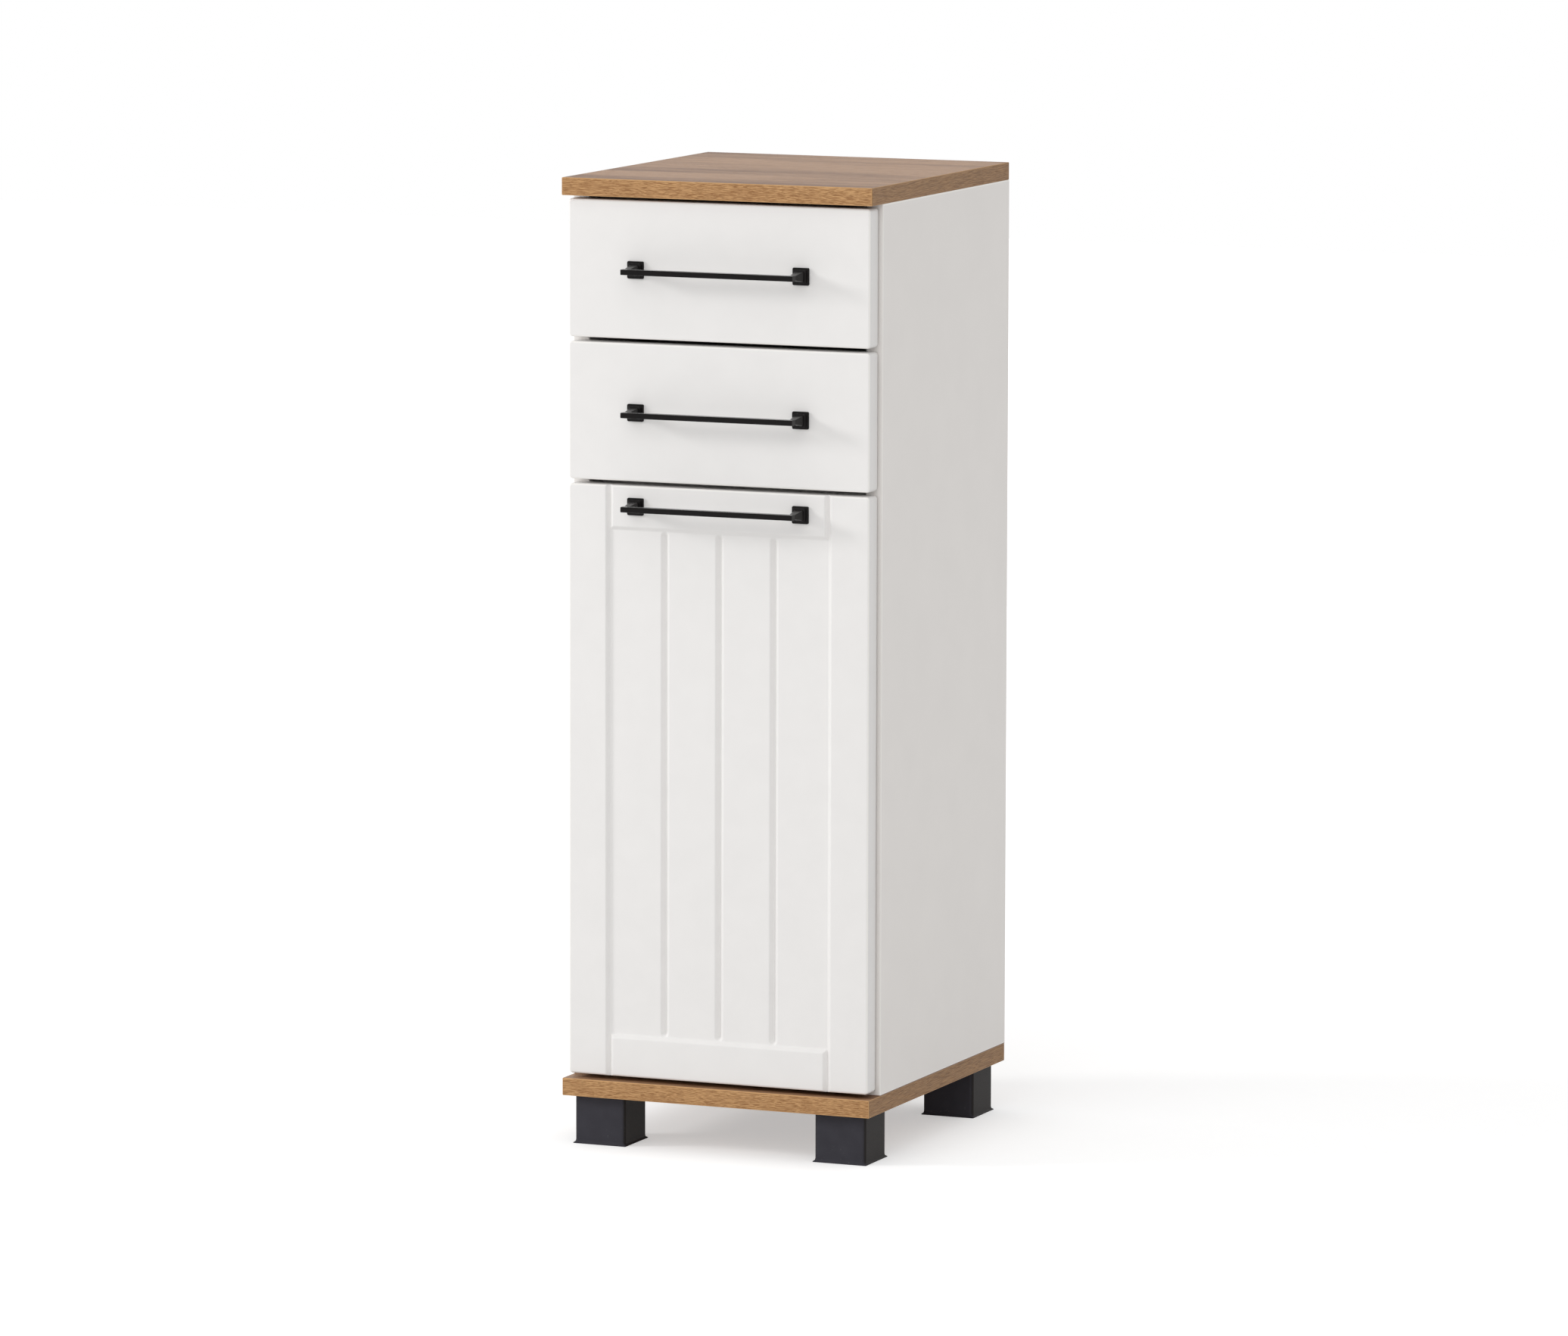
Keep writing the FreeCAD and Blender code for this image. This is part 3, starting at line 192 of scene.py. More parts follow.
class FinishColours(bpy.types.PropertyGroup):
    """Colours of the finishes."""

    board_light: colour("Board face, light", (180, 141, 108), "Light grain of the oak-effect faces")
    board_dark: colour("Board face, dark", (120, 85, 59), "Dark grain of those faces")
    board_pore: colour("Board face, pores", (97, 68, 48), "Pores of those faces")
    edge_light: colour("Front edge, light", (203, 159, 110), "Light grain of the oak-effect edge")
    edge_dark: colour("Front edge, dark", (149, 106, 66), "Dark grain of that edge")
    edge_pore: colour("Front edge, pores", (118, 80, 48), "Pores of that edge")
    side_light: colour("Side edge, light", (167, 127, 83), "Light grain of the edges at the sides")
    side_dark: colour("Side edge, dark", (122, 87, 51), "Dark grain of those edges")
    front: colour("Fronts", (239, 237, 235), "White foil of the fronts")
    melamine: colour("Boards", (241, 237, 233), "White face of the inner and side boards")
    # Painted highlight: this colour is painted on the rounded arrises of the fronts and along the arrises
    # of the side boards
    arris: colour("Arrises", (254, 251, 246), "Light line along the arrises of fronts and side boards")
    drawer: colour("Drawer boxes", (226, 224, 220), "Pale foil of the drawer boxes")
    chip_light: colour("Chips, light", (214, 184, 140), "Light chips in a raw edge")
    chip_dark: colour("Chips, dark", (134, 98, 62), "Dark chips in a raw edge")
    hardboard: colour("Hardboard", (130, 94, 64), "Raw face of the hardboard")
    hardboard_paint: colour("Hardboard paint", (232, 230, 226), "Painted face of the hardboard")
    handle: colour("Handles", (15, 13, 13), "Black coat of the handles")
    foot: colour("Feet", (63, 62, 68), "Slate plastic of the feet")
    # Painted shade: the sides of the feet that face along x take this darker, warmer tone
    foot_side: colour("Feet, sides", (43, 40, 39), "Its warmer tone on the feet's sides")
    dust: colour("Dust", (150, 148, 146), "Specks of dust on dark surfaces")
    steel: colour("Zinc steel", (205, 207, 212), "Zinc coat of slides and screws")
    hinge: colour("Hinge steel", (186, 186, 190), "Nickel coat of the hinges")
    cam: colour("Cams", (168, 169, 172), "Die-cast cams")
    beech: colour("Dowels", (222, 190, 146), "Beech of the dowels")
    catch: colour("Catch", (235, 234, 230), "White plastic of the catch")
    buffer: colour("Buffers", (228, 232, 232), "Clear plastic of the buffers")


class StudioSizes(bpy.types.PropertyGroup):
    """The camera, the lamps and the floor."""

    azimuth: angle("Azimuth", 22.827, "The camera's turn to the right of the fronts")
    elevation: angle("Elevation", 7.518, "The camera's height above the level, as an angle")
    roll: angle("Roll", -0.134, "The camera's turn about its own line of sight")
    focal: number("Focal length", 12260.1, "In pixels of a picture 2072 pixels wide")
    distance: size("Distance", 8.4361, "From the camera to the cabinet")
    shift_right: offset("Right", -0.00246, "The camera's place along its picture's width")
    shift_up: offset("Up", -0.03775, "The camera's place along its picture's height")
    aim: point("Aim", (0, 0.011, 0.461), "The point that the three values above start from", "XYZ")
    lamp_distance: size("Lamp distance", 4, "From the cabinet to both lamps")
    key_power: number("Key light", 46, "Power of the lamp at the upper left")
    key_size: size("Key size", 0.9, "Width of that lamp")
    key_from: point(
        "Key from", (-1.9, -1, 0.72), "Where that lamp stands, seen from the cabinet", "DIRECTION")
    fill_power: number("Fill light", 25, "Power of the large lamp before the cabinet")
    fill_size: size("Fill size", 3.5, "Width of that lamp")
    fill_from: point(
        "Fill from", (0, -1, 0.45), "Where that lamp stands, seen from the cabinet", "DIRECTION")
    sky: number("Sky", 0.7, "Level of the even light from all round")
    floor_reach: size("Floor reach", 9, "From the floor's middle to its sides")
    floor_lift: number("Floor lift", 0.42, "What brings the lit floor up to white for the camera")
    floor_far_lift: number("Far floor lift", 0.25, "What the floor needs more of it far from the lamps")
    floor_near: size("Near floor", 0.7, "How far from the middle the floor starts to need more")
    floor_far: size("Far floor", 3.5, "How far from the middle it needs all of it")
    floor_tone: colour("Floor", (228, 228, 228), "The pale floor")


# Meshes from grids of points


def oriented(points, quads):
    """The quads, turned round where the volume they enclose comes out negative."""
    a, b, c, d = (points[quads[:, corner]] for corner in range(4))
    volume = np.einsum("ij,ij->", a, np.cross(b, c)) + np.einsum("ij,ij->", a, np.cross(c, d))
    return quads if volume > 0 else quads[:, ::-1]


def skin(name, shells):
    """A mesh object of closed shells, each a list of grids of points.

    Neighbours along a grid's rows and columns are joined by quads, equal points of a shell become one
    vertex, and a quad that loses a corner by that becomes a triangle.
    """
    points, quads, shell_of = [], [], []
    total = 0
    for shell_number, shell in enumerate(shells):
        own_points, own_quads, start = [], [], 0
        for grid in shell:
            rows, columns = grid.shape[:2]
            index = start + np.arange(rows * columns).reshape(rows, columns)
            corners = [index[:-1, :-1], index[:-1, 1:], index[1:, 1:], index[1:, :-1]]
            own_quads.append(np.stack(corners, -1).reshape(-1, 4))
            own_points.append(grid.reshape(-1, 3))
            start += rows * columns
        own_points = np.concatenate(own_points)
        quads.append(total + oriented(own_points, np.concatenate(own_quads)))
        points.append(own_points)
        shell_of.append(np.full(start, shell_number))
        total += start
    points = np.concatenate(points)
    keys = np.column_stack([np.round(points / WELD), np.concatenate(shell_of)])
    _, first, vertex = np.unique(keys, axis=0, return_index=True, return_inverse=True)
    corners = vertex.reshape(-1)[np.concatenate(quads)]
    kept = corners != np.roll(corners, -1, axis=1)
    whole = kept.sum(axis=1) > 2
    corners, kept = corners[whole], kept[whole]
    counts = kept.sum(axis=1)
    loops = corners[kept]

    mesh = bpy.data.meshes.new(name)
    mesh.vertices.add(len(first))
    mesh.vertices.foreach_set("co", points[first].astype(np.float32).ravel())
    mesh.loops.add(len(loops))
    mesh.loops.foreach_set("vertex_index", loops.astype(np.int32))
    mesh.polygons.add(len(counts))
    mesh.polygons.foreach_set("loop_start", (np.cumsum(counts) - counts).astype(np.int32))
    mesh.update(calc_edges=True)
    if mesh.validate():
        raise RuntimeError("the mesh of %s isn't sound" % name)
    mesh.shade_smooth()
    mesh.set_sharp_from_angle(angle=SHARP_ANGLE)
    piece = bpy.data.objects.new(name, mesh)
    bpy.context.scene.collection.objects.link(piece)
    normals = piece.modifiers.new("Flat areas stay flat", "WEIGHTED_NORMAL")
    normals.keep_sharp = True
    return piece


def softened(rows):
    """A line whose corners are rounded: each becomes a parabola between two points on its sides.

    A row is a point and its reach: how far these two lie from the corner, or almost half a side where
    that is less. A corner of no reach stays. Reach and sides are measured over a point's first two numbers.
    """
    rows = np.asarray(rows, float)
    points, reach = rows[:, :-1], rows[:, -1]
    share = np.linspace(0, 1, SOFT_STEPS + 1)[:, None]
    line = [points[:1]]
    for before, corner, after, far in zip(points[:-2], points[1:-1], points[2:], reach[1:-1]):
        back, ahead = before - corner, after - corner
        lengths = np.linalg.norm(back[:2]), np.linalg.norm(ahead[:2])
        far = min(far, 0.49 * min(lengths))
        if far <= 0:
            line.append(corner[None])
            continue
        start, end = corner + back * far / lengths[0], corner + ahead * far / lengths[1]
        line.append((1 - share) ** 2 * start + 2 * share * (1 - share) * corner + share ** 2 * end)
    line.append(points[-1:])
    return np.concatenate(line)


def stack(profile, axis, centre, steps=CORNER_STEPS):
    """Rounded rectangles carried along an axis, one for each row of level, half sizes and corner.

    A point is the centre of its corner's rounding plus the radius times a direction that turns once round.
    """
    level, half_a, half_b, corner = (column[:, None] for column in profile.T)
    quarter = np.linspace(0, math.pi / 2, steps)
    turn = np.append((np.arange(4)[:, None] * math.pi / 2 + quarter).ravel(), 0)
    side_a = np.append(np.repeat([1, -1, -1, 1], steps), 1)
    side_b = np.append(np.repeat([1, 1, -1, -1], steps), 1)
    across = side_a * (half_a - corner) + corner * np.cos(turn)
    upward = side_b * (half_b - corner) + corner * np.sin(turn)
    along = np.broadcast_to(level, across.shape)
    if axis == "x":
        return np.stack([along, centre[1] + across, centre[2] + upward], -1)
    if axis == "y":
        return np.stack([centre[0] + across, along, centre[2] + upward], -1)
    return np.stack([centre[0] + across, centre[1] + upward, along], -1)


def dress(piece, body, slot, node):
    """Give a finished piece its body, its material and the node that it stands for."""
    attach(piece, body)
    apply_finish(piece, slot, node)
    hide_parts(node)


# Fronts


def soft_ramp(distance, soft):
    """Zero before an edge and the distance past it, with a parabola over soft to both sides."""
    near = soft * (np.clip(distance / soft, -1, 1) + 1) ** 2 / 4
    return np.where(distance > soft, distance, near)


def door_milling(sizes, low, high):
    """The depth of the door's milling as a function of x and z.

    It is the greater of the stile grooves and the sunk panel, both with sides at 45 degrees, plus the
    panel's own grooves. A groove is as deep as the distance to its border, down to its floor.
    """
    depth = sizes.groove_depth
    soft = sizes.foil
    recess_low, recess_high = low.z + sizes.bottom_rail, high.z - sizes.top_rail
    end_low = recess_low + depth + sizes.plank_groove
    end_high = recess_high - depth - sizes.plank_groove
    floor = sizes.plank_groove - sizes.plank_flat

    def milled(x, z):
        from_groove = np.sqrt((np.abs(x) - sizes.groove_place) ** 2 + (soft / 2) ** 2)
        stile_groove = soft_ramp(depth - from_groove, soft)
        from_stile = sizes.groove_place + depth - np.abs(x)
        inside = np.minimum(from_stile, np.minimum(z - recess_low, recess_high - z))
        panel = depth - soft_ramp(depth - soft_ramp(inside, soft), soft)
        plank = np.clip(np.round(x / sizes.plank_pitch), -1, 1) * sizes.plank_pitch
        from_plank = np.hypot(x - plank, z - np.clip(z, end_low, end_high))
        planks = floor - soft_ramp(floor - soft_ramp(sizes.plank_groove - from_plank, soft), soft)
        return np.maximum(stile_groove, panel) + np.maximum(planks, 0)

    rows = np.array([recess_low, recess_low + depth, recess_high - depth, recess_high])
    ends = np.array([end_low - sizes.plank_groove / 2, end_high + sizes.plank_groove / 2])
    place, pitch = sizes.groove_place, sizes.plank_pitch
    return milled, np.array([-place, -pitch, 0, pitch, place]), np.concatenate([rows, ends])


def grid_lines(low, high, sizes, centres, extra=()):
    """Grid lines from low to high, wide apart on plain areas and close together round each centre."""
    coarse = np.linspace(low, high, int((high - low) / sizes.coarse) + 2)
    reach = sizes.groove_depth + 3 * sizes.foil
    steps = np.arange(-reach, reach, sizes.fine)
    close = (np.asarray(centres)[:, None] + steps).ravel() if len(centres) else np.empty(0)
    corner = np.linspace(0, sizes.corner, CORNER_STEPS)
    lines = np.unique(np.concatenate([coarse, close, low + corner, high - corner]))
    lines = lines[(lines >= low) & (lines <= high)]
    lines = lines[np.append(True, np.diff(lines) > sizes.fine / 2)]
    lines[-1] = high
    return np.unique(np.concatenate([lines, extra]))


def border(x, z):
    """Once round a grid, with the way out of it. A corner is repeated while that turns about a square."""
    turn = np.linspace(0, math.pi / 2, 2 * CORNER_STEPS + 1)[1:-1]
    along_x, along_z, facing = [], [], []
    sides = (
        (x, z[0] + 0 * x, -1), (x[-1] + 0 * z, z, 0),
        (x[::-1], z[-1] + 0 * x, 1), (x[0] + 0 * z, z[::-1], 2))
    for side_x, side_z, quarter in sides:
        start = quarter * math.pi / 2
        along_x.append(np.append(side_x, np.full(len(turn), side_x[-1])))
        along_z.append(np.append(side_z, np.full(len(turn), side_z[-1])))
        facing.append(np.append(np.full(len(side_x), start), start + turn))
    loop_x, loop_z, facing = (np.concatenate(part) for part in (along_x, along_z, facing))
    out_x, out_z = np.cos(facing), np.sin(facing)
    square = np.maximum(np.abs(out_x), np.abs(out_z))
    return tuple(np.append(part, part[0]) for part in (loop_x, loop_z, out_x / square, out_z / square))


def round_corners(grid, low, high, radius):
    """Draw the square block in each corner of a front in to a quarter disc.

    A point of the block moves towards the block's inner corner until it is as far from that as the
    larger of its two distances was before.
    """
    middle = np.array([(low.x + high.x) / 2, (low.z + high.z) / 2])
    half = np.array([(high.x - low.x) / 2, (high.z - low.z) / 2])
    place = grid[..., [0, 2]] - middle
    past = np.maximum(np.abs(place) - (half - radius), 0)
    share = past.max(axis=-1) / np.maximum(np.hypot(past[..., 0], past[..., 1]), WELD)
    moved = np.where(past.min(axis=-1) > 0, share, 1)[..., None] * past
    rounded = grid.copy()
    rounded[..., [0, 2]] += np.sign(place) * (moved - past)
    return rounded


def front_shell(sizes, low, high, milled, columns, rows, hinges=()):
    """A front: its face is a grid whose depth is the milling, and its rim a profile carried round it.

    The profile is a quarter circle, the side and a small rear rounding. Each of its points moves back
    to the milling where that is deeper, so that a groove runs out through the edge.
    """
    arris = sizes.arris
    rebates = [(box[0].z - sizes.rebate_play, box[1].z + sizes.rebate_play) for box in hinges]
    ends = [end + step for rebate in rebates for end in rebate for step in (-REBATE_STEP, REBATE_STEP)]
    x = grid_lines(low.x + arris, high.x - arris, sizes, columns)
    z = grid_lines(low.z + arris, high.z - arris, sizes, rows, ends)
    face_x, face_z = np.meshgrid(x, z, indexing="ij")
    face = np.stack([face_x, low.y + milled(face_x, face_z), face_z], -1)

    bend = np.linspace(0, math.pi / 2, CORNER_STEPS + 1)
    rebate = high.y - sizes.rebate_depth
    profile = np.concatenate([
        np.column_stack([arris * np.sin(bend), low.y + arris * (1 - np.cos(bend))]),
        [[arris, rebate - REBATE_STEP], [arris, rebate], [arris, high.y - sizes.rear_arris]],
        [[arris - sizes.rear_arris, high.y], [0, high.y]],
    ])
    loop_x, loop_z, out_x, out_z = border(x, z)
    reach, level = profile[:, :1], profile[:, 1:]
    rim_x, rim_z = loop_x + reach * out_x, loop_z + reach * out_z
    rim_y = np.maximum(np.broadcast_to(level, rim_x.shape), low.y + milled(rim_x, rim_z))
    rim_y = np.minimum(rim_y, high.y)
    for rebate_low, rebate_high in rebates:
        cut = (rim_x < low.x + arris / 2) & (rim_y > rebate - REBATE_STEP / 2)
        cut &= (rim_z > rebate_low) & (rim_z < rebate_high)
        rim_x = np.where(cut, np.maximum(rim_x, low.x + sizes.rebate_width), rim_x)
    rim = np.stack([rim_x, rim_y, rim_z], -1)
    middle = np.array([(low.x + high.x) / 2, high.y, (low.z + high.z) / 2])
    back = np.broadcast_to(middle, (1, *rim[-1].shape))
    rim = np.concatenate([rim, back]).swapaxes(0, 1)
    return [round_corners(grid, low, high, sizes.corner) for grid in (face, rim)]


class CABINET_OT_fronts(bpy.types.Operator):
    """The two plain drawer fronts and the door with its stile grooves, sunk panel and plank grooves"""

    bl_idname = "cabinet.fronts"
    bl_label = "Fronts"

    def execute(self, context):
        sizes = context.scene.cabinet_fronts
        for name, node in FRONTS.items():
            low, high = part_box(node)
            hinges = []
            milled, columns, rows = (lambda x, z: np.zeros(np.shape(x))), (), ()
            if name == "door":
                milled, columns, rows = door_milling(sizes, low, high)
                hinges = [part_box("hinge_door_leaf_" + place) for place in ("upper", "lower")]
            shell = front_shell(sizes, low, high, milled, columns, rows, hinges)
            dress(skin("foiled_front_" + name, [shell]), FRONT_BODIES[name], "white_front", node)
        return {"FINISHED"}


# Handles and feet


def handle_shells(sizes, low, high):
    """The bar is one rounded rectangle along x. A post's rounded squares run back along y, from inside
    the bar through the flare and the collar to the rosette."""
    middle = (low.z + high.z) / 2
    bar_rear = low.y + sizes.bar_thickness
    bar_middle = low.y + sizes.bar_thickness / 2
    half_thick, half_tall = sizes.bar_thickness / 2, sizes.bar_height / 2
    half_long = (sizes.spacing + sizes.tip_width) / 2
    section = (half_thick, half_tall, sizes.bar_arris, sizes.bar_end)
    bar = softened([(-half_long, 0, 0, 0, 0), (-half_long, *section),
                    (half_long, *section), (half_long, 0, 0, 0, 0)])
    shells = [[stack(bar, "x", (0, bar_middle, middle))]]

    rosette_front = high.y - sizes.rosette_step
    collar_front = rosette_front - sizes.collar_step
    tip = [sizes.tip_width / 2, half_tall - sizes.bar_arris / 2, sizes.bar_arris]
    tenon = [tip[0] - sizes.tenon, tip[1] - sizes.tenon, sizes.bar_arris - sizes.tenon]
    root = [sizes.root_width / 2, sizes.root_width / 2, sizes.rosette_corner]
    collar = [sizes.collar_width / 2, sizes.collar_width / 2, sizes.rosette_corner]
    rosette = [sizes.rosette_width / 2, sizes.rosette_width / 2, sizes.rosette_corner]
    none = [0, 0, 0]
    profile = softened([
        (bar_middle, *none, 0), (bar_middle, *tenon, 0), (bar_rear - sizes.tenon, *tenon, 0),
        (bar_rear, *tip, 0),
        (collar_front, *root, sizes.mould), (collar_front, *collar, sizes.mould),
        (rosette_front, *collar, sizes.mould / 2), (rosette_front, *rosette, sizes.mould),
        (high.y, *rosette, 0), (high.y, *none, 0),
    ])
    for side in (-1, 1):
        shells.append([stack(profile, "y", (side * sizes.spacing / 2, 0, middle))])
    return shells


class CABINET_OT_handles(bpy.types.Operator):
    """The three bar handles on flared posts with stepped square rosettes"""

    bl_idname = "cabinet.handles"
    bl_label = "Handles"

    def execute(self, context):
        for name, body in FRONT_BODIES.items():
            node = "handle_" + name
            shells = handle_shells(context.scene.cabinet_handles, *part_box(node))
            dress(skin("bar_handle_" + name, shells), body, "black_handle", node)
        return {"FINISHED"}


def foot_shell(sizes, low, high):
    """A hollow foot: rounded squares from the middle of its inner deck down the inside, round the rim
    and up the flared skirt and the body to the middle of its top."""
    centre = ((low.x + high.x) / 2, (low.y + high.y) / 2, 0)
    base, body = (high.x - low.x) / 2, sizes.body_width / 2
    hollow = body - sizes.wall
    inner_corner = sizes.corner - sizes.wall / 2
    deck = high.z - sizes.deck
    flare = body + (base - body) / 4
    rows = [
        (deck, hollow, inner_corner), (low.z, hollow, inner_corner),
        (low.z, base, sizes.skirt_corner), (low.z + sizes.rim, base, sizes.skirt_corner),
        (low.z + sizes.skirt / 2, flare, sizes.corner), (low.z + sizes.skirt, body, sizes.corner),
        (high.z, body, sizes.corner),
    ]
    walls = [(level, half, half, corner, sizes.mould) for level, half, corner in rows]
    return [stack(softened([(deck, 0, 0, 0, 0), *walls, (high.z, 0, 0, 0, 0)]), "z", centre)]


class CABINET_OT_feet(bpy.types.Operator):
    """The four hollow square feet with their flared skirts"""

    bl_idname = "cabinet.feet"
    bl_label = "Feet"

    def execute(self, context):
        for name in FEET:
            node = "foot_" + name
            shell = foot_shell(context.scene.cabinet_feet, *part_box(node))
            dress(skin("moulded_foot_" + name, [shell]), "cabinet", "black_foot", node)
        return {"FINISHED"}


# Screws and buffers


# The cross and the crown of a screw's head, as shares of the head's radius and height
CROSS_WIDTH_SHARE = 0.3
CROSS_LENGTH_SHARE = 0.62
CROSS_DEPTH_SHARE = 0.45
CROWN_WIDTH_SHARE = 0.85
CROWN_HEIGHT_SHARE = 0.3
RIM_HEIGHT_SHARE = 0.45
# The point of a screw, as shares of its shank's radius
POINT_LENGTH_SHARE = 1.5
POINT_WIDTH_SHARE = 0.125
# A buffer's outline: shares of its height and of its radius, and the softness as a share of its height
DOME_SHARES = ((0, 0, 0), (0, 1, 0), (0.5, 0.97, 0.4), (1, 0.6, 0.6), (1, 0, 0))


def screw_grids(head, height, shank, length):
    """A cross-headed screw along +z with its head's underside at zero, as two grids.

    Twenty points go round, five to a quarter: both sides of an arm of the cross at the arm's floor, and
    three at the head's surface. An arm's side is at the angle whose sine is half its width over the radius.
    """
    arm_width, arm_length = head * CROSS_WIDTH_SHARE, head * CROSS_LENGTH_SHARE
    depth = min(head * CROSS_DEPTH_SHARE, length / 4)
    crown = height * CROWN_HEIGHT_SHARE

    def ring(radius, floor, top):
        spread = math.asin(min(arm_width / 2 / radius, math.sin(math.pi / 4)))
        turn = np.array([-spread, spread, spread, math.pi / 4, math.pi / 2 - spread])
        turn = (np.arange(4)[:, None] * math.pi / 2 + turn).ravel()
        level = np.tile([floor, floor, top, top, top], 4)
        points = np.column_stack([radius * np.cos(turn), radius * np.sin(turn), level])
        return np.concatenate([points, points[:1]])

    def crown_level(radius):
        return height - crown * (radius / head) ** 2

    meet = arm_width / math.sqrt(2)
    floor = crown_level(0) - depth
    rings = [ring(meet, floor, crown_level(meet)), ring(arm_length, floor, crown_level(arm_length))]
    outline = [(radius, crown_level(radius)) for radius in (arm_length, head * CROWN_WIDTH_SHARE)]
    outline.append((head, height * RIM_HEIGHT_SHARE))
    if height > 0:
        outline += [(head, 0), (shank, 0)]
    outline += [(shank, shank * POINT_LENGTH_SHARE - length), (shank * POINT_WIDTH_SHARE, -length)]
    rings += [ring(radius, level, level) for radius, level in outline]
    tip = np.zeros_like(rings[0]) + (0, 0, -length)
    # Of the five points to a quarter, the first two lie on the cross's floor
    hub = rings[0][[0, 1, 5, 6, 10, 11, 15, 16, 0]]
    hub_middle = np.zeros_like(hub) + (0, 0, floor)
    return [np.stack([hub_middle, hub]), np.stack([*rings, tip])]


def pair(middle, pitch):
    """Two places, half the pitch to each side of the middle."""
    return [middle - pitch / 2, middle + pitch / 2]


def screws(grids, places, pointing):
    """One screw for each place, turned so that its shank points the way given."""
    turn = np.array(Vector((0, 0, -1)).rotation_difference(Vector(pointing)).to_matrix())
    return [[grid @ turn.T + np.array(place) for grid in grids] for place in places]


class CABINET_OT_screws(bpy.types.Operator):
    """The cross-headed screws of handles, slides, hinges, catch, bracket and feet"""

    bl_idname = "cabinet.screws"
    bl_label = "Screws"

    def execute(self, context):
        sizes = context.scene.cabinet_fasteners
        shank, length = sizes.small_shank, sizes.small_length
        small = screw_grids(sizes.small_head, sizes.small_head_height, shank, length)
        flush = screw_grids(shank, 0, shank, length)
        self.handle_screws(context, sizes)
        self.foot_screws(context, small)
        slides = [screw for name in DRAWERS for screw in self.slide_screws(sizes, small, name)]
        frame_leaf, door_leaf = self.hinge_screws(sizes, flush)
        catch, strike = self.catch_screws(sizes, small, flush)
        low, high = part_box("wall_bracket")
        place = (0, (low.y + high.y) / 2, high.z - sizes.bracket_metal)
        bracket = screws(small, [place], (0, 0, 1))
        piece = skin("crosshead_screws_carcass", slides + frame_leaf + catch + bracket)
        dress(piece, "cabinet", "zinc_screws", "carcass_screws")
        piece = skin("crosshead_screws_door", door_leaf + strike)
        dress(piece, "door_leaf", "zinc_screws", "door_screws")
        return {"FINISHED"}

    def hinge_screws(self, sizes, grids):
        """The screws of both hinges, into the side panel's edge and into the door's back."""
        rows = []
        for place in ("upper", "lower"):
            low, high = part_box("hinge_frame_leaf_" + place)
            rows += pair((low.z + high.z) / 2, sizes.hinge_pitch)
        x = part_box("hinge_door_leaf_upper")[1].x - sizes.leaf_inset
        frame_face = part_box("side_panel_right")[0].y - sizes.leaf_metal
        door_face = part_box("door")[1].y + sizes.leaf_metal
        return (screws(grids, [(x, frame_face, z) for z in rows], (0, 1, 0)),
                screws(grids, [(x, door_face, z) for z in rows], (0, -1, 0)))

    def catch_screws(self, sizes, grids, flush):
        """The screws of the catch into the side panel, and of its strike plate into the door."""
        low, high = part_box("magnetic_catch")
        middle = (low + high) / 2
        rows = pair(middle.z, sizes.catch_pitch)
        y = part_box("side_panel_right")[0].y + (high.y - low.y) / 2
        strike_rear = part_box("strike_plate")[1].y
        return (screws(grids, [(middle.x, y, z) for z in rows], (1, 0, 0)),
                screws(flush, [(middle.x, strike_rear, z) for z in rows], (0, -1, 0)))

    def handle_screws(self, context, sizes):
        spacing = context.scene.cabinet_handles.spacing
        for name, node in FRONTS.items():
            front_low, front_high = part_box(node)
            low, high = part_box("handle_" + name)
            length = front_high.y - front_low.y + sizes.handle_grip
            grids = screw_grids(sizes.large_head, sizes.large_head_height, sizes.large_shank, length)
            places = [(x, front_high.y, (low.z + high.z) / 2) for x in pair(0, spacing)]
            piece = skin("crosshead_screws_handle_" + name, screws(grids, places, (0, -1, 0)))
            dress(piece, FRONT_BODIES[name], "zinc_screws", "handle_screws_" + name)

    def foot_screws(self, context, grids):
        sizes = context.scene.cabinet_feet
        places = []
        for name in FEET:
            low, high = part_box("foot_" + name)
            middle = (low + high) / 2
            places += [(x, y, high.z - sizes.deck) for x in pair(middle.x, sizes.screw_spread)
                       for y in pair(middle.y, sizes.screw_spread)]
        piece = skin("crosshead_screws_feet", screws(grids, places, (0, 0, 1)))
        dress(piece, "cabinet", "zinc_screws", "foot_screws")

    def slide_screws(self, sizes, grids, name):
        """Dress the screws of a drawer's runners, and give back those of its rails."""
        short = screw_grids(
            sizes.small_head, sizes.small_head_height, sizes.small_shank, sizes.box_length)
        runner_screws, rail_screws = [], []
        for side, hand in ((-1, "left"), (1, "right")):
            rail_low, rail_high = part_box("slide_rail_%s_%s" % (name, hand))
            runner_low, runner_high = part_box("slide_runner_%s_%s" % (name, hand))
            first = rail_low.y + sizes.inset_row
            rows = [first, first + sizes.row_pitch]
            level = (rail_low.z + rail_high.z) / 2
            wall = rail_high.x if side > 0 else rail_low.x
            box_wall = runner_low.x if side > 0 else runner_high.x
            metal = sizes.slide_metal * side
            rail_screws += screws(grids, [(wall - metal, y, level) for y in rows], (side, 0, 0))
            runner_screws += screws(short, [(box_wall + metal, y, level) for y in rows], (-side, 0, 0))
        piece = skin("crosshead_screws_runners_" + name, runner_screws)
        dress(piece, "drawer_" + name, "zinc_screws", "runner_screws_" + name)
        return rail_screws


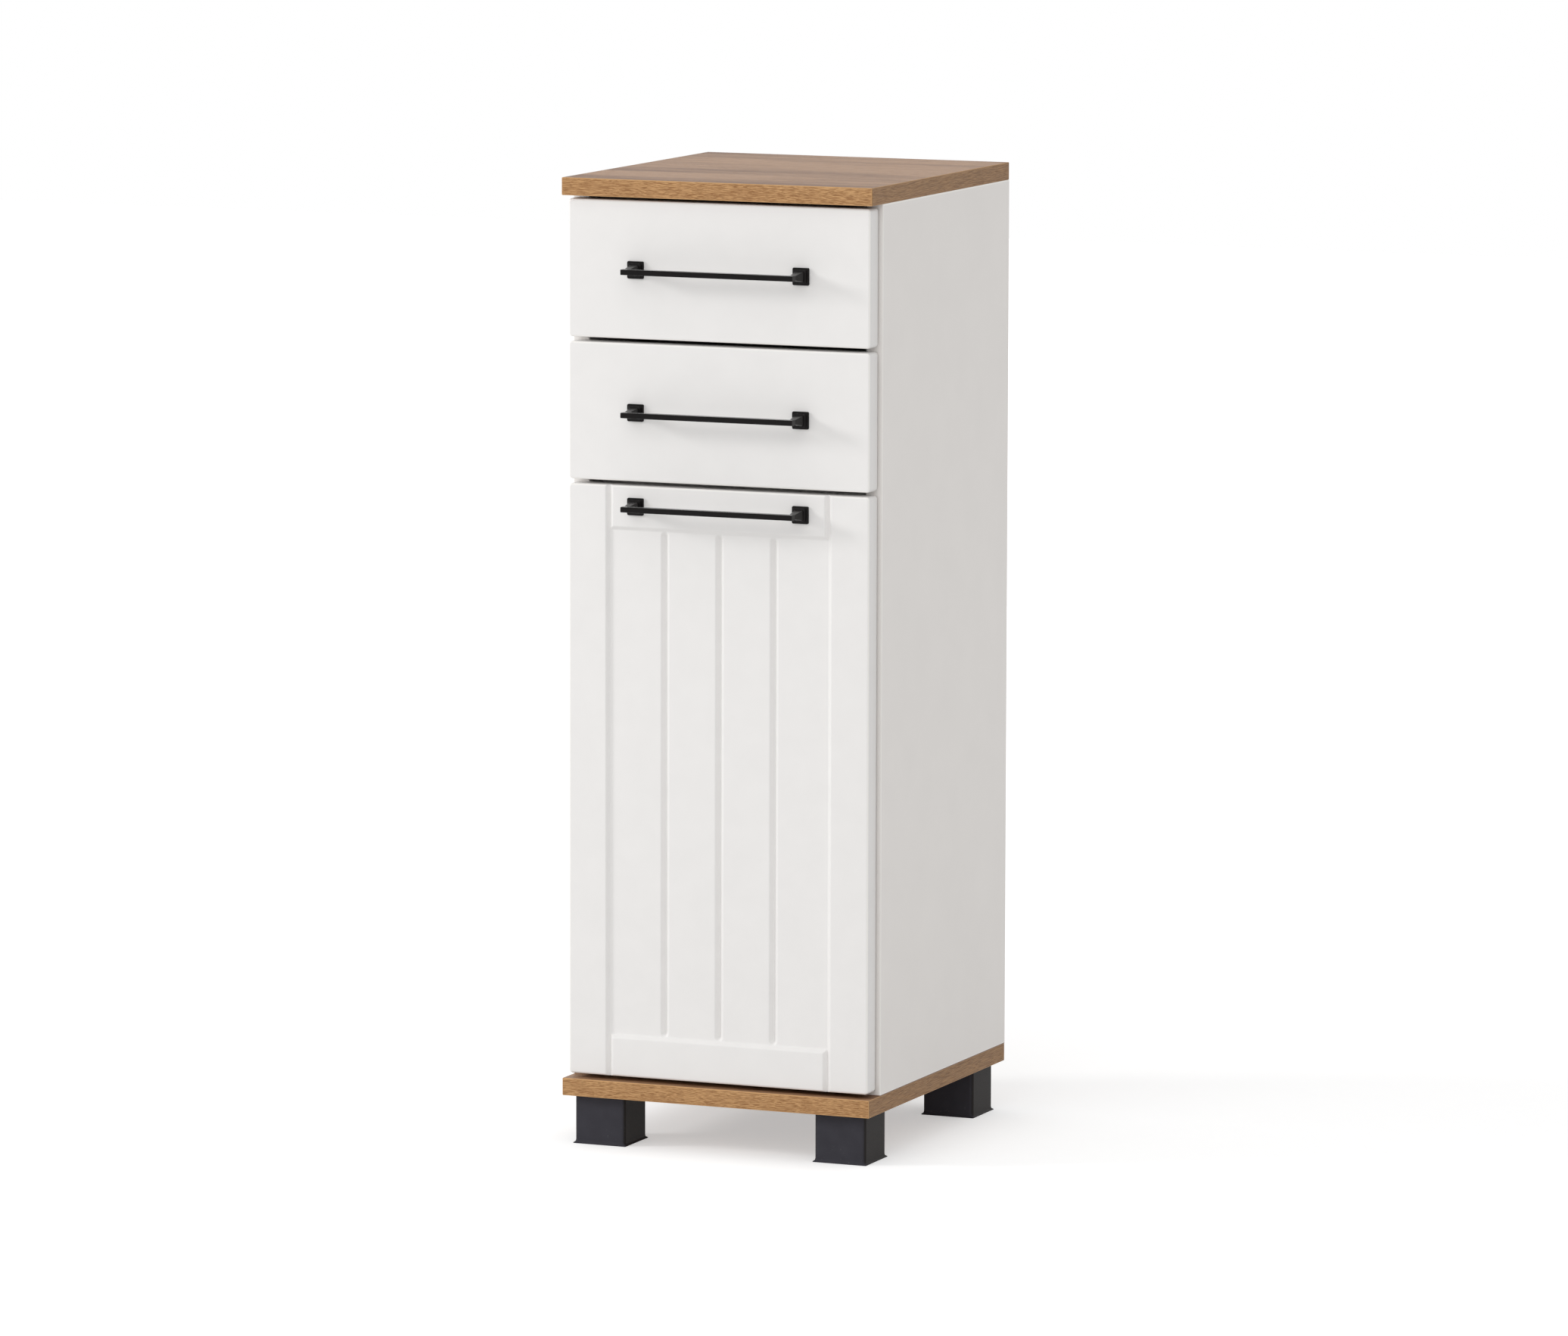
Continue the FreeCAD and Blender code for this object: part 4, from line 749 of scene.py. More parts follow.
class CABINET_OT_buffers(bpy.types.Operator):
    """The domed clear buffers on the backs of the fronts"""

    bl_idname = "cabinet.buffers"
    bl_label = "Buffers"

    def execute(self, context):
        sizes = context.scene.cabinet_fasteners
        radius, height = sizes.buffer_radius, sizes.buffer_height
        for name, node in FRONTS.items():
            low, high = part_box(node)
            profile = softened([(high.y + height * level, *[radius * half] * 3, height * soft)
                                for level, half, soft in DOME_SHARES])
            sides = (1,) if name == "door" else (-1, 1)
            inset = sizes.buffer_inset
            shells = [[stack(profile, "y", (side * (high.x - inset), 0, z), ROUND_STEPS)]
                      for side in sides for z in (low.z + inset * 2, high.z - inset * 2)]
            piece = skin("domed_buffers_" + name, shells)
            dress(piece, FRONT_BODIES[name], "clear_bumper", "bumpers_" + name)
        return {"FINISHED"}


# Shader nodes


# The range in which most of a noise lies
NOISE_LOW, NOISE_HIGH = 0.3, 0.7
# The sockets of a Mix node for each kind of value: the first, the second and what comes out
MIX_SOCKETS = {"FLOAT": (2, 3, 0), "VECTOR": (4, 5, 1), "RGBA": (6, 7, 2)}
# How far the thin streaks of the oak bend, from one side to the other
STREAK_DRIFT = 0.003
# The grey that a zinc or nickel coat tends to where it is dull
DULL_METAL = (0.12, 0.12, 0.13)
GREY, WHITE, BLACK = (0.5, 0.5, 0.5, 1), (1, 1, 1, 1), (0, 0, 0, 1)


def feed(socket, value):
    """Give a socket another node's output or a value. A colour of three parts gets its fourth."""
    if isinstance(value, bpy.types.NodeSocket):
        socket.id_data.links.new(value, socket)
    elif socket.type == "RGBA" and len(value) == 3:
        socket.default_value = (*value, 1)
    else:
        socket.default_value = value


def add(kind, inputs, **settings):
    """A node with its settings and inputs, in the tree that the first socket among these is in."""
    tree = next(value.id_data for value in inputs.values() if isinstance(value, bpy.types.NodeSocket))
    node = tree.nodes.new(kind)
    for name, value in settings.items():
        setattr(node, name, value)
    for name, value in inputs.items():
        feed(node.inputs[name], value)
    return node


def maths(operation, *values):
    return add("ShaderNodeMath", dict(enumerate(values)), operation=operation).outputs[0]


def vectors(operation, *values):
    """As maths, for vectors. A length comes out as a number."""
    node = add("ShaderNodeVectorMath", dict(enumerate(values)), operation=operation)
    return node.outputs["Value" if operation == "LENGTH" else "Vector"]


def split(vector):
    """A vector's x, y and z."""
    return add("ShaderNodeSeparateXYZ", {0: vector}).outputs[:3]


def joined(**parts):
    """A vector of the parts given. The others are zero."""
    return add("ShaderNodeCombineXYZ", parts).outputs[0]


def first_channel(colour_from):
    return add("ShaderNodeSeparateColor", {0: colour_from}).outputs[0]


def remap(value, low, high, to_low=0.0, to_high=1.0):
    """The value carried from one range to another, and held at its ends."""
    inputs = {"Value": value, "From Min": low, "From Max": high, "To Min": to_low, "To Max": to_high}
    return add("ShaderNodeMapRange", inputs).outputs[0]


def mix(share, first, second, kind="RGBA"):
    """From the first colour, number or vector to the second as the share goes from 0 to 1."""
    start, end, out = MIX_SOCKETS[kind]
    return add("ShaderNodeMix", {0: share, start: first, end: second}, data_type=kind).outputs[out]


def noise(vector, scale, detail=2.0, roughness=0.5):
    inputs = {"Vector": vector, "Scale": scale, "Detail": detail, "Roughness": roughness}
    return add("ShaderNodeTexNoise", inputs).outputs[0]


def cells_of(vector, scale):
    """Cells of mixed shapes: a number for each, and the distance from its middle."""
    outputs = add("ShaderNodeTexVoronoi", {"Vector": vector, "Scale": scale}).outputs
    return first_channel(outputs["Color"]), outputs["Distance"]


def from_noise(value, low=0.0, high=1.0):
    """A noise carried from the range in which most of it lies to the range given."""
    return remap(value, NOISE_LOW, NOISE_HIGH, low, high)


def darker(tone, share):
    return tuple(channel * share for channel in tone)


def figure(vector, stretch, low, high, **of_noise):
    """Drawn-out noise, whose part from low to high goes from 0 to 1."""
    return remap(noise(vectors("MULTIPLY", vector, stretch), **of_noise), low, high)


def mottled(waves, tone, share):
    """A tone that a noise takes down to a share of itself in places."""
    return mix(from_noise(waves), tone, darker(tone, share))


def new_group(name, inputs, outputs):
    """A shader node group with its sockets: the tree, what comes in and what goes out."""
    tree = bpy.data.node_groups.new(name, "ShaderNodeTree")
    for label, (kind, default) in inputs.items():
        socket = tree.interface.new_socket(label, in_out="INPUT", socket_type="NodeSocket" + kind)
        if default is not None:
            socket.default_value = default
    for label, kind in outputs.items():
        tree.interface.new_socket(label, in_out="OUTPUT", socket_type="NodeSocket" + kind)
    return tree, tree.nodes.new("NodeGroupInput").outputs, tree.nodes.new("NodeGroupOutput").inputs


def give(tree, outside, **values):
    """Lead a group's results to what goes out."""
    for label, value in values.items():
        feed(outside[label], value)
    return tree


def oak_grain_group():
    """Oak figure along x: broad bands, thin wavy streaks and short dark pores.

    All are noise stretched along x and held to its upper part; a slow noise bends the thin ones.
    """
    tree, inside, outside = new_group(
        "Oak grain",
        {"Vector": ("Vector", None), "Light": ("Color", GREY), "Dark": ("Color", GREY),
         "Pore": ("Color", GREY), "Bands": ("Float", 0.5), "Streaks": ("Float", 0.5),
         "Pores": ("Float", 0.5), "Fineness": ("Float", 1.0)},
        {"Color": "Color", "Height": "Float", "Pores": "Float"})
    vector, fineness = inside["Vector"], inside["Fineness"]
    drift = noise(vectors("MULTIPLY", vector, (28, 60, 60)), scale=1)
    drift = maths("MULTIPLY", maths("SUBTRACT", drift, 0.5), STREAK_DRIFT)
    wavy = vectors("ADD", vector, joined(Y=drift, Z=drift))
    bands = figure(vector, (2.2, 21, 21), low=0.42, high=0.66, scale=1, detail=6, roughness=0.66)
    streaks = figure(wavy, (120, 2800, 2800), low=0.44, high=0.58, scale=fineness)
    pores = figure(wavy, (190, 2300, 2300), low=0.56, high=0.66, scale=fineness, detail=1)
    share = maths("MULTIPLY", bands, inside["Bands"])
    share = maths("MULTIPLY_ADD", streaks, inside["Streaks"], share)
    base = mix(share, inside["Light"], inside["Dark"])
    marks = maths("MULTIPLY", pores, inside["Pores"])
    height = maths("SUBTRACT", maths("MULTIPLY", streaks, 0.3), pores)
    return give(tree, outside, Color=mix(marks, base, inside["Pore"]), Height=height, Pores=marks)


def board_core_group():
    """1 inside a board, deeper than its skin from every face, where drilling and cuts show its chips."""
    tree, inside, outside = new_group(
        "Board core",
        {"Vector": ("Vector", None), "Low": ("Vector", (0, 0, 0)), "High": ("Vector", (1, 1, 1)),
         "Skin": ("Float", 0.0004)},
        {"Core": "Float"})

    def least(value, other):
        x, y, z = split(vectors("SUBTRACT", value, other))
        return maths("MINIMUM", maths("MINIMUM", x, y), z)

    from_low = least(inside["Vector"], inside["Low"])
    from_high = least(inside["High"], inside["Vector"])
    depth = maths("MINIMUM", from_low, from_high)
    return give(tree, outside, Core=maths("GREATER_THAN", depth, inside["Skin"]))


def chips_group():
    """Pressed wood chips: cells of mixed tones, drawn out one way and broken up by a finer grain."""
    tree, inside, outside = new_group(
        "Pressed chips",
        {"Vector": ("Vector", None), "Light": ("Color", WHITE), "Dark": ("Color", BLACK)},
        {"Color": "Color", "Height": "Float"})
    drawn_out = vectors("MULTIPLY", inside["Vector"], (700, 260, 260))
    tone, distance = cells_of(drawn_out, scale=1)
    grain = noise(inside["Vector"], scale=1800, detail=3)
    share = maths("MULTIPLY_ADD", tone, 0.6, maths("MULTIPLY", grain, 0.5))
    shade = mix(remap(share, 0.2, 0.9), inside["Light"], inside["Dark"])
    return give(tree, outside, Color=shade, Height=maths("SUBTRACT", grain, distance))


def emboss_group():
    """The fine skin of foil, melamine, paint and moulded plastic: pimples over a slow unevenness."""
    tree, inside, outside = new_group(
        "Fine emboss",
        {"Vector": ("Vector", None), "Pimples": ("Float", 1500.0), "Waves": ("Float", 60.0),
         "Wave Share": ("Float", 0.4)},
        {"Height": "Float", "Waves": "Float", "Pimples": "Float"})
    pimples = noise(inside["Vector"], inside["Pimples"])
    waves = noise(inside["Vector"], inside["Waves"])
    height = maths("MULTIPLY_ADD", waves, inside["Wave Share"], pimples)
    return give(tree, outside, Height=height, Waves=waves, Pimples=pimples)


def dust_group():
    """Sparse pale specks, each with its own size, in loose clouds."""
    tree, inside, outside = new_group(
        "Dust specks",
        {"Vector": ("Vector", None), "Spacing": ("Float", 320.0), "Amount": ("Float", 0.5)},
        {"Mask": "Float"})
    own, distance = cells_of(inside["Vector"], inside["Spacing"])
    radius = remap(own, 0.5, 1, 0, 0.3)
    speck = remap(maths("SUBTRACT", radius, distance), 0, 0.1)
    cloud = remap(noise(inside["Vector"], scale=130, detail=3), 0.45, 0.7)
    speck = maths("MULTIPLY", maths("MULTIPLY", speck, cloud), inside["Amount"])
    return give(tree, outside, Mask=speck)


def plating_group():
    """A zinc or nickel coat: crystals of slightly different grey, and fine lines of the rolling."""
    tree, inside, outside = new_group(
        "Plating",
        {"Vector": ("Vector", None), "Base": ("Color", WHITE), "Crystals": ("Float", 400.0),
         "Contrast": ("Float", 0.2)},
        {"Color": "Color", "Roughness": "Float", "Height": "Float"})
    tone, _ = cells_of(inside["Vector"], inside["Crystals"])
    drawn_out = vectors("MULTIPLY", inside["Vector"], (900, 25, 900))
    lines = noise(drawn_out, scale=1, detail=3)
    clouds = noise(inside["Vector"], scale=45, detail=3)
    share = maths("MULTIPLY", maths("MULTIPLY_ADD", tone, 0.5, clouds), inside["Contrast"])
    rough = maths("MULTIPLY_ADD", clouds, 0.18, maths("MULTIPLY", tone, 0.08))
    return give(tree, outside, Color=mix(share, inside["Base"], DULL_METAL),
                Roughness=maths("ADD", rough, 0.2), Height=lines)


GROUPS = {
    "Oak grain": oak_grain_group,
    "Board core": board_core_group,
    "Pressed chips": chips_group,
    "Fine emboss": emboss_group,
    "Dust specks": dust_group,
    "Plating": plating_group,
}


def placed(name, **inputs):
    """One of the groups above, with this material's own values. Wave_Share is the socket Wave Share."""
    group = bpy.data.node_groups.get(name) or GROUPS[name]()
    inputs = {label.replace("_", " "): value for label, value in inputs.items()}
    return add("ShaderNodeGroup", inputs, node_tree=group).outputs


def new_material(name):
    """A material, its places and directions on the object, and its Principled shader."""
    material = bpy.data.materials.new(name)
    material.use_nodes = True
    nodes = material.node_tree.nodes
    return material, nodes.new("ShaderNodeTexCoord").outputs, nodes["Principled BSDF"]


def surface(shader, tone, rough, height, lift, strength=1.0, gloss=0.5):
    """Lead a colour, a roughness and a height into the shader; lift is the height's real size."""
    feed(shader.inputs["Base Color"], tone)
    feed(shader.inputs["Roughness"], rough)
    feed(shader.inputs["Specular IOR Level"], gloss)
    bump = add("ShaderNodeBump", {"Height": height, "Distance": lift, "Strength": strength})
    feed(shader.inputs["Normal"], bump.outputs[0])


# Finishes


# One metre along x, y and z. A board's box that is longer by it has no border that way
SPANS = [Vector(row) for row in np.eye(3)]
# What moves the grain of the oak-effect faces until its dark bands lie at their front and back
GRAIN_START = (0.9, 0.37, 0.0)
# How much the grain of the side edges is drawn out more than that of the front edges
SIDE_GRAIN_SHARE = 0.45
# How squarely a surface looks along an axis to be an oak board's side edge, its face, or flat at all
SIDE_SQUARENESS, FACE_SQUARENESS, FLAT_SQUARENESS = 0.6, 0.75, 0.985
# The same for the large faces of a side panel
PANEL_SQUARENESS = 0.9
# Thickness of the decor of an oak-effect board, under which cuts show its chips
OAK_DECOR = 0.0009
# Height of the dark line where a side panel stands on the bottom board: the joint, with painted shade in
# its crease. It fades over its upper fifth
JOINT_SHADE_HEIGHT = 0.001
# Width of the painted highlight along the arrises of a side panel
ARRIS_HIGHLIGHT_WIDTH = 0.0014
# Width of the border of a front in which a painted highlight lies on its rounded edges
HIGHLIGHT_BORDER = 0.0025
# Radians per metre of the wire mesh's mark in hardboard
MESH_TURNS = 2400.0
# The browner tone of the handles, as shares of their colour
WARM_SHARES = (1.35, 1.2, 1.15)


def chips_of(spot, colours):
    return placed("Pressed chips", Vector=spot, Light=colours.chip_light, Dark=colours.chip_dark)


def squareness(facing):
    """How squarely the surface looks along x, y and z, from 0 to 1."""
    return [maths("ABSOLUTE", part) for part in split(facing)]


# Every finish is given its shader, the surface's place and direction on the object, the colours and the
# node that it is on


def oak_board(shader, spot, facing, colours, node):
    """Oak-effect board: one decor on the faces, another on the edges, a painted highlight on the rounded
    arrises, chips where it is cut.
    """
    low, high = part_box(node)
    square = squareness(facing)
    on_side = maths("GREATER_THAN", square[0], SIDE_SQUARENESS)
    on_face = maths("GREATER_THAN", square[2], FACE_SQUARENESS)
    x, y, z = split(spot)
    turned = joined(X=maths("MULTIPLY", y, SIDE_GRAIN_SHARE), Y=x, Z=z)
    along = mix(on_side, spot, turned, "VECTOR")
    shifted = vectors("ADD", spot, GRAIN_START)
    faces = placed(
        "Oak grain", Vector=shifted, Light=colours.board_light, Dark=colours.board_dark,
        Pore=colours.board_pore, Bands=0.85, Streaks=0.35, Pores=0.3, Fineness=0.5)
    light = mix(on_side, colours.edge_light, colours.side_light)
    dark = mix(on_side, colours.edge_dark, colours.side_dark)
    edges = placed(
        "Oak grain", Vector=along, Light=light, Dark=dark,
        Pore=colours.edge_pore, Bands=0.28, Streaks=0.85, Pores=0.5, Fineness=1.0)
    core = placed("Board core", Vector=spot, Low=low, High=high, Skin=OAK_DECOR)["Core"]
    chips = chips_of(spot, colours)
    # Where no axis is square to the surface, on the rounded arrises, the tone is the light grain colour: a
    # painted highlight
    flat = [maths("GREATER_THAN", part, FLAT_SQUARENESS) for part in square]
    flat = maths("ADD", maths("ADD", flat[0], flat[1]), flat[2])
    tone = mix(flat, light, mix(on_face, edges["Color"], faces["Color"]))
    tone = mix(core, tone, chips["Color"])
    height = mix(on_face, edges["Height"], faces["Height"], "FLOAT")
    height = mix(core, height, chips["Height"], "FLOAT")
    rough = maths("MAXIMUM", remap(edges["Pores"], 0, 1, 0.45, 0.65), core)
    surface(shader, tone, rough, height, lift=0.00005, strength=0.5, gloss=0.2)


def side_panel_highlight_and_joint(spot, facing, low, high, face, colours):
    """A painted highlight along the arrises of a side panel, and a dark line where it stands on its board:
    the joint, darkened with painted shade.
    """
    inner = placed("Board core", Vector=spot, Low=low - SPANS[0], High=high + SPANS[0], Skin=ARRIS_HIGHLIGHT_WIDTH)
    square = maths("ABSOLUTE", split(facing)[0])
    on_side = maths("GREATER_THAN", square, PANEL_SQUARENESS)
    # Painted highlight: a band along the edges of the panel's large faces takes the arris colour
    line = maths("MULTIPLY", on_side, maths("SUBTRACT", 1, inner["Core"]))
    rise = split(spot)[2]
    # Painted shade: the bottom of the panel, where it stands on its board, darkens to the pore colour
    joint = remap(rise, low.z + JOINT_SHADE_HEIGHT * 0.8, low.z + JOINT_SHADE_HEIGHT, 0.9, 0)
    return mix(joint, mix(line, face, colours.arris), colours.edge_pore)


def raw_edged_board(shader, spot, facing, colours, node, base, pimples, lift, roughness):
    """White board: an embossed face, and chips at its rear end, in its bores and in its channels."""
    low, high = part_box(node)
    # The rear end is cut and has no edging, so the core runs out through it
    high = high + SPANS[1]
    emboss = placed("Fine emboss", Vector=spot, Pimples=pimples, Waves=22.0)
    core = placed("Board core", Vector=spot, Low=low, High=high)["Core"]
    chips = chips_of(spot, colours)
    face = mottled(emboss["Waves"], getattr(colours, base), 0.98)
    if node.startswith("side_panel"):
        face = side_panel_highlight_and_joint(spot, facing, low, high, face, colours)
    rough = from_noise(emboss["Pimples"], roughness - 0.05, roughness + 0.05)
    height = mix(core, emboss["Height"], chips["Height"], "FLOAT")
    tone = mix(core, face, chips["Color"])
    surface(shader, tone, maths("MAXIMUM", rough, core), height, lift, strength=0.6, gloss=0.35)


def white_front(shader, spot, facing, colours, node):
    """White foil over milled board: satin, with the faint unevenness of the press.

    The rounded edges carry a painted highlight. They lie in the front's border, and look less squarely
    forward than the face and less squarely sideways, up or down than the sides.
    """
    foil = placed("Fine emboss", Vector=spot, Pimples=1100.0, Waves=35.0, Wave_Share=1.5)
    tone = mottled(foil["Waves"], colours.front, 0.98)
    low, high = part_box(node)
    square = squareness(facing)
    off_side, off_face = remap(square[1], 0.3, 0.7, 0, 0.7), remap(square[1], 0.98, 0.85)
    bend = maths("MULTIPLY", off_side, off_face)
    for out, other in ((0, 2), (2, 0)):
        beyond = SPANS[1] + SPANS[other]
        inner = placed("Board core", Vector=spot, Low=low - beyond, High=high + beyond, Skin=HIGHLIGHT_BORDER)
        outward = maths("GREATER_THAN", square[out], square[other])
        highlight_place = maths("MAXIMUM", maths("SUBTRACT", outward, inner["Core"]), 0)
        # Painted highlight: the rounded edges in the border take the arris colour
        tone = mix(maths("MULTIPLY", highlight_place, bend), tone, colours.arris)
    rough = from_noise(foil["Pimples"], 0.34, 0.42)
    surface(shader, tone, rough, foil["Height"], lift=0.00003, strength=0.4, gloss=0.35)


def hardboard(shader, spot, facing, colours, node):
    """Thin hardboard: painted on the face that looks in, and raw with the mark of a mesh behind."""
    _, facing_y, facing_z = split(facing)
    if node.startswith("drawer_base"):
        painted = maths("GREATER_THAN", facing_z, 0.5)
    else:
        painted = maths("LESS_THAN", facing_y, -0.5)
    x, y, z = (maths("SINE", maths("MULTIPLY", part, MESH_TURNS)) for part in split(spot))
    weave = maths("MULTIPLY", x, maths("MAXIMUM", y, z))
    fibres = noise(spot, scale=1300, detail=4, roughness=0.65)
    clouds = noise(spot, scale=12, detail=3, roughness=0.4)
    share = maths("MULTIPLY_ADD", fibres, 0.8, maths("MULTIPLY_ADD", weave, 0.12, clouds))
    raw = mix(remap(share, 0.45, 1.3), colours.hardboard, darker(colours.hardboard, 0.6))
    coat = mottled(clouds, colours.hardboard_paint, 0.95)
    raw_height = maths("MULTIPLY_ADD", weave, 0.5, fibres)
    height = mix(painted, raw_height, maths("MULTIPLY", fibres, 0.3), "FLOAT")
    rough = maths("MULTIPLY_ADD", painted, -0.4, 0.85)
    surface(shader, mix(painted, raw, coat), rough, height, lift=0.00015, strength=0.7)


def black_handle(shader, spot, facing, colours, node):
    """Black powder coat: a fine grain, a browner tone in slow clouds, a trace of dust."""
    coat = placed("Fine emboss", Vector=spot, Pimples=2600.0, Waves=120.0, Wave_Share=0.5)
    dust = placed("Dust specks", Vector=spot, Spacing=1400.0, Amount=0.08)["Mask"]
    warm = tuple(channel * share for channel, share in zip(colours.handle, WARM_SHARES))
    tone = mix(remap(coat["Waves"], 0.35, 0.65), colours.handle, warm)
    tone = mix(dust, tone, colours.dust)
    rough = from_noise(coat["Pimples"], 0.16, 0.26)
    feed(shader.inputs["Sheen Weight"], 0.12)
    feed(shader.inputs["Sheen Roughness"], 0.3)
    surface(shader, tone, rough, coat["Height"], lift=0.00001, strength=0.2, gloss=0.12)


def black_foot(shader, spot, facing, colours, node):
    """Moulded plastic: a leathery grain, a slight cloudiness, painted shade on the sides that face along x,
    and dust that is thicker near the floor.
    """
    grain = placed("Fine emboss", Vector=spot, Pimples=1500.0, Waves=70.0, Wave_Share=0.3)
    amount = remap(split(spot)[2], 0, 0.02, 0.75, 0.06)
    dust = placed("Dust specks", Vector=spot, Spacing=750.0, Amount=amount)["Mask"]
    square = maths("ABSOLUTE", split(facing)[0])
    tone = mottled(grain["Waves"], colours.foot, 0.88)
    # Painted shade: the sides facing along x darken to the side tone
    tone = mix(remap(square, 0.4, 0.8), tone, colours.foot_side)
    tone = mix(dust, tone, colours.dust)
    rough = from_noise(grain["Pimples"], 0.36, 0.5)
    surface(shader, tone, rough, grain["Height"], lift=0.00003, strength=0.4, gloss=0.06)


def plated(shader, spot, facing, colours, node, base, crystals, contrast):
    """Plated steel or zinc."""
    tone = getattr(colours, base)
    coat = placed("Plating", Vector=spot, Base=tone, Crystals=crystals, Contrast=contrast)
    feed(shader.inputs["Metallic"], 1)
    surface(shader, coat["Color"], coat["Roughness"], coat["Height"], lift=0.00002, strength=0.4)


def beech_dowel(shader, spot, facing, colours, node):
    """Beech dowel with its fine flecks."""
    drawn_out = vectors("MULTIPLY", spot, (900, 900, 120))
    flecks = noise(drawn_out, scale=1, detail=3)
    tone = mix(remap(flecks, 0.4, 0.7), colours.beech, darker(colours.beech, 0.6))
    surface(shader, tone, from_noise(flecks, 0.6, 0.8), flecks, lift=0.0001)


def white_catch(shader, spot, facing, colours, node):
    """White moulded plastic with a fine grain."""
    grain = placed("Fine emboss", Vector=spot, Pimples=2200.0, Waves=150.0)
    tone = mottled(grain["Waves"], colours.catch, 0.93)
    rough = from_noise(grain["Pimples"], 0.35, 0.5)
    surface(shader, tone, rough, grain["Height"], lift=0.00003)


def clear_bumper(shader, spot, facing, colours, node):
    """Clear soft plastic, a little cloudy."""
    clouds = placed("Fine emboss", Vector=spot, Pimples=900.0, Waves=300.0)
    tone = mottled(clouds["Waves"], colours.buffer, 0.9)
    rough = from_noise(clouds["Pimples"], 0.12, 0.2)
    feed(shader.inputs["Transmission Weight"], 0.7)
    feed(shader.inputs["IOR"], 1.48)
    surface(shader, tone, rough, clouds["Height"], lift=0.00002)


# For each slot the function that makes its finish, and what sets it apart where finishes share one
FINISHES = {
    "oak_board": (oak_board, {}),
    "white_board": (raw_edged_board, dict(base="melamine", pimples=1400, lift=0.00004, roughness=0.42)),
    "drawer_board": (raw_edged_board, dict(base="drawer", pimples=900, lift=0.00003, roughness=0.5)),
    "white_hardboard": (hardboard, {}),
    "white_front": (white_front, {}),
    "black_handle": (black_handle, {}),
    "black_foot": (black_foot, {}),
    "zinc_steel": (plated, dict(base="steel", crystals=500, contrast=0.25)),
    "zinc_screws": (plated, dict(base="steel", crystals=1500, contrast=0.15)),
    "hinge_steel": (plated, dict(base="hinge", crystals=1800, contrast=0.1)),
    "cam_zinc": (plated, dict(base="cam", crystals=900, contrast=0.35)),
    "beech_dowel": (beech_dowel, {}),
    "white_catch": (white_catch, {}),
    "clear_bumper": (clear_bumper, {}),
}
# The start of a node's name, and the slot of its finish
NODE_SLOTS = (
    ("top_panel", "oak_board"), ("bottom_panel", "oak_board"), ("side_panel", "white_board"),
    ("divider_shelf", "white_board"), ("shelf_pins", "zinc_steel"), ("shelf", "white_board"),
    ("drawer_side", "drawer_board"), ("drawer_back", "drawer_board"), ("back_panel", "white_hardboard"),
    ("drawer_base", "white_hardboard"), ("slide_", "zinc_steel"), ("wall_bracket", "zinc_steel"),
    ("strike_plate", "zinc_steel"), ("cam_bolts", "zinc_steel"), ("cam_locks", "cam_zinc"),
    ("hinge_", "hinge_steel"), ("joint_dowels", "beech_dowel"), ("magnetic_catch", "white_catch"),
)
# Finishes whose pattern knows the board that it is on
BOARD_SLOTS = ("oak_board", "white_board", "drawer_board", "white_hardboard", "white_front")


def finish(slot, node):
    """The material of a slot, made the first time that it is asked for; a board has one of its own."""
    name = "finish_%s_%s" % (slot, node) if slot in BOARD_SLOTS else "finish_" + slot
    material = bpy.data.materials.get(name)
    if not material:
        build, values = FINISHES[slot]
        material, where, shader = new_material(name)
        build(shader, where["Object"], where["Normal"], bpy.context.scene.cabinet_finishes, node, **values)
    return material


def apply_finish(piece, slot, node):
    """Give a piece the material of its slot."""
    piece.data.materials.clear()
    piece.data.materials.append(finish(slot, node))


class CABINET_OT_finishes(bpy.types.Operator):
    """The finishes of the boards, slides, hinges and fittings that keep their own shapes"""

    bl_idname = "cabinet.finishes"
    bl_label = "Finishes"

    def execute(self, context):
        for node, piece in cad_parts.items():
            if piece.hide_render:
                continue
            slots = [slot for start, slot in NODE_SLOTS if node.startswith(start)]
            if not slots:
                raise RuntimeError("no finish for " + node)
            apply_finish(piece, slots[0], node)
        return {"FINISHED"}


# Studio


PHOTO_WIDTH = 2072
SENSOR_WIDTH = 36
CLIP_START, CLIP_END = 0.1, 100


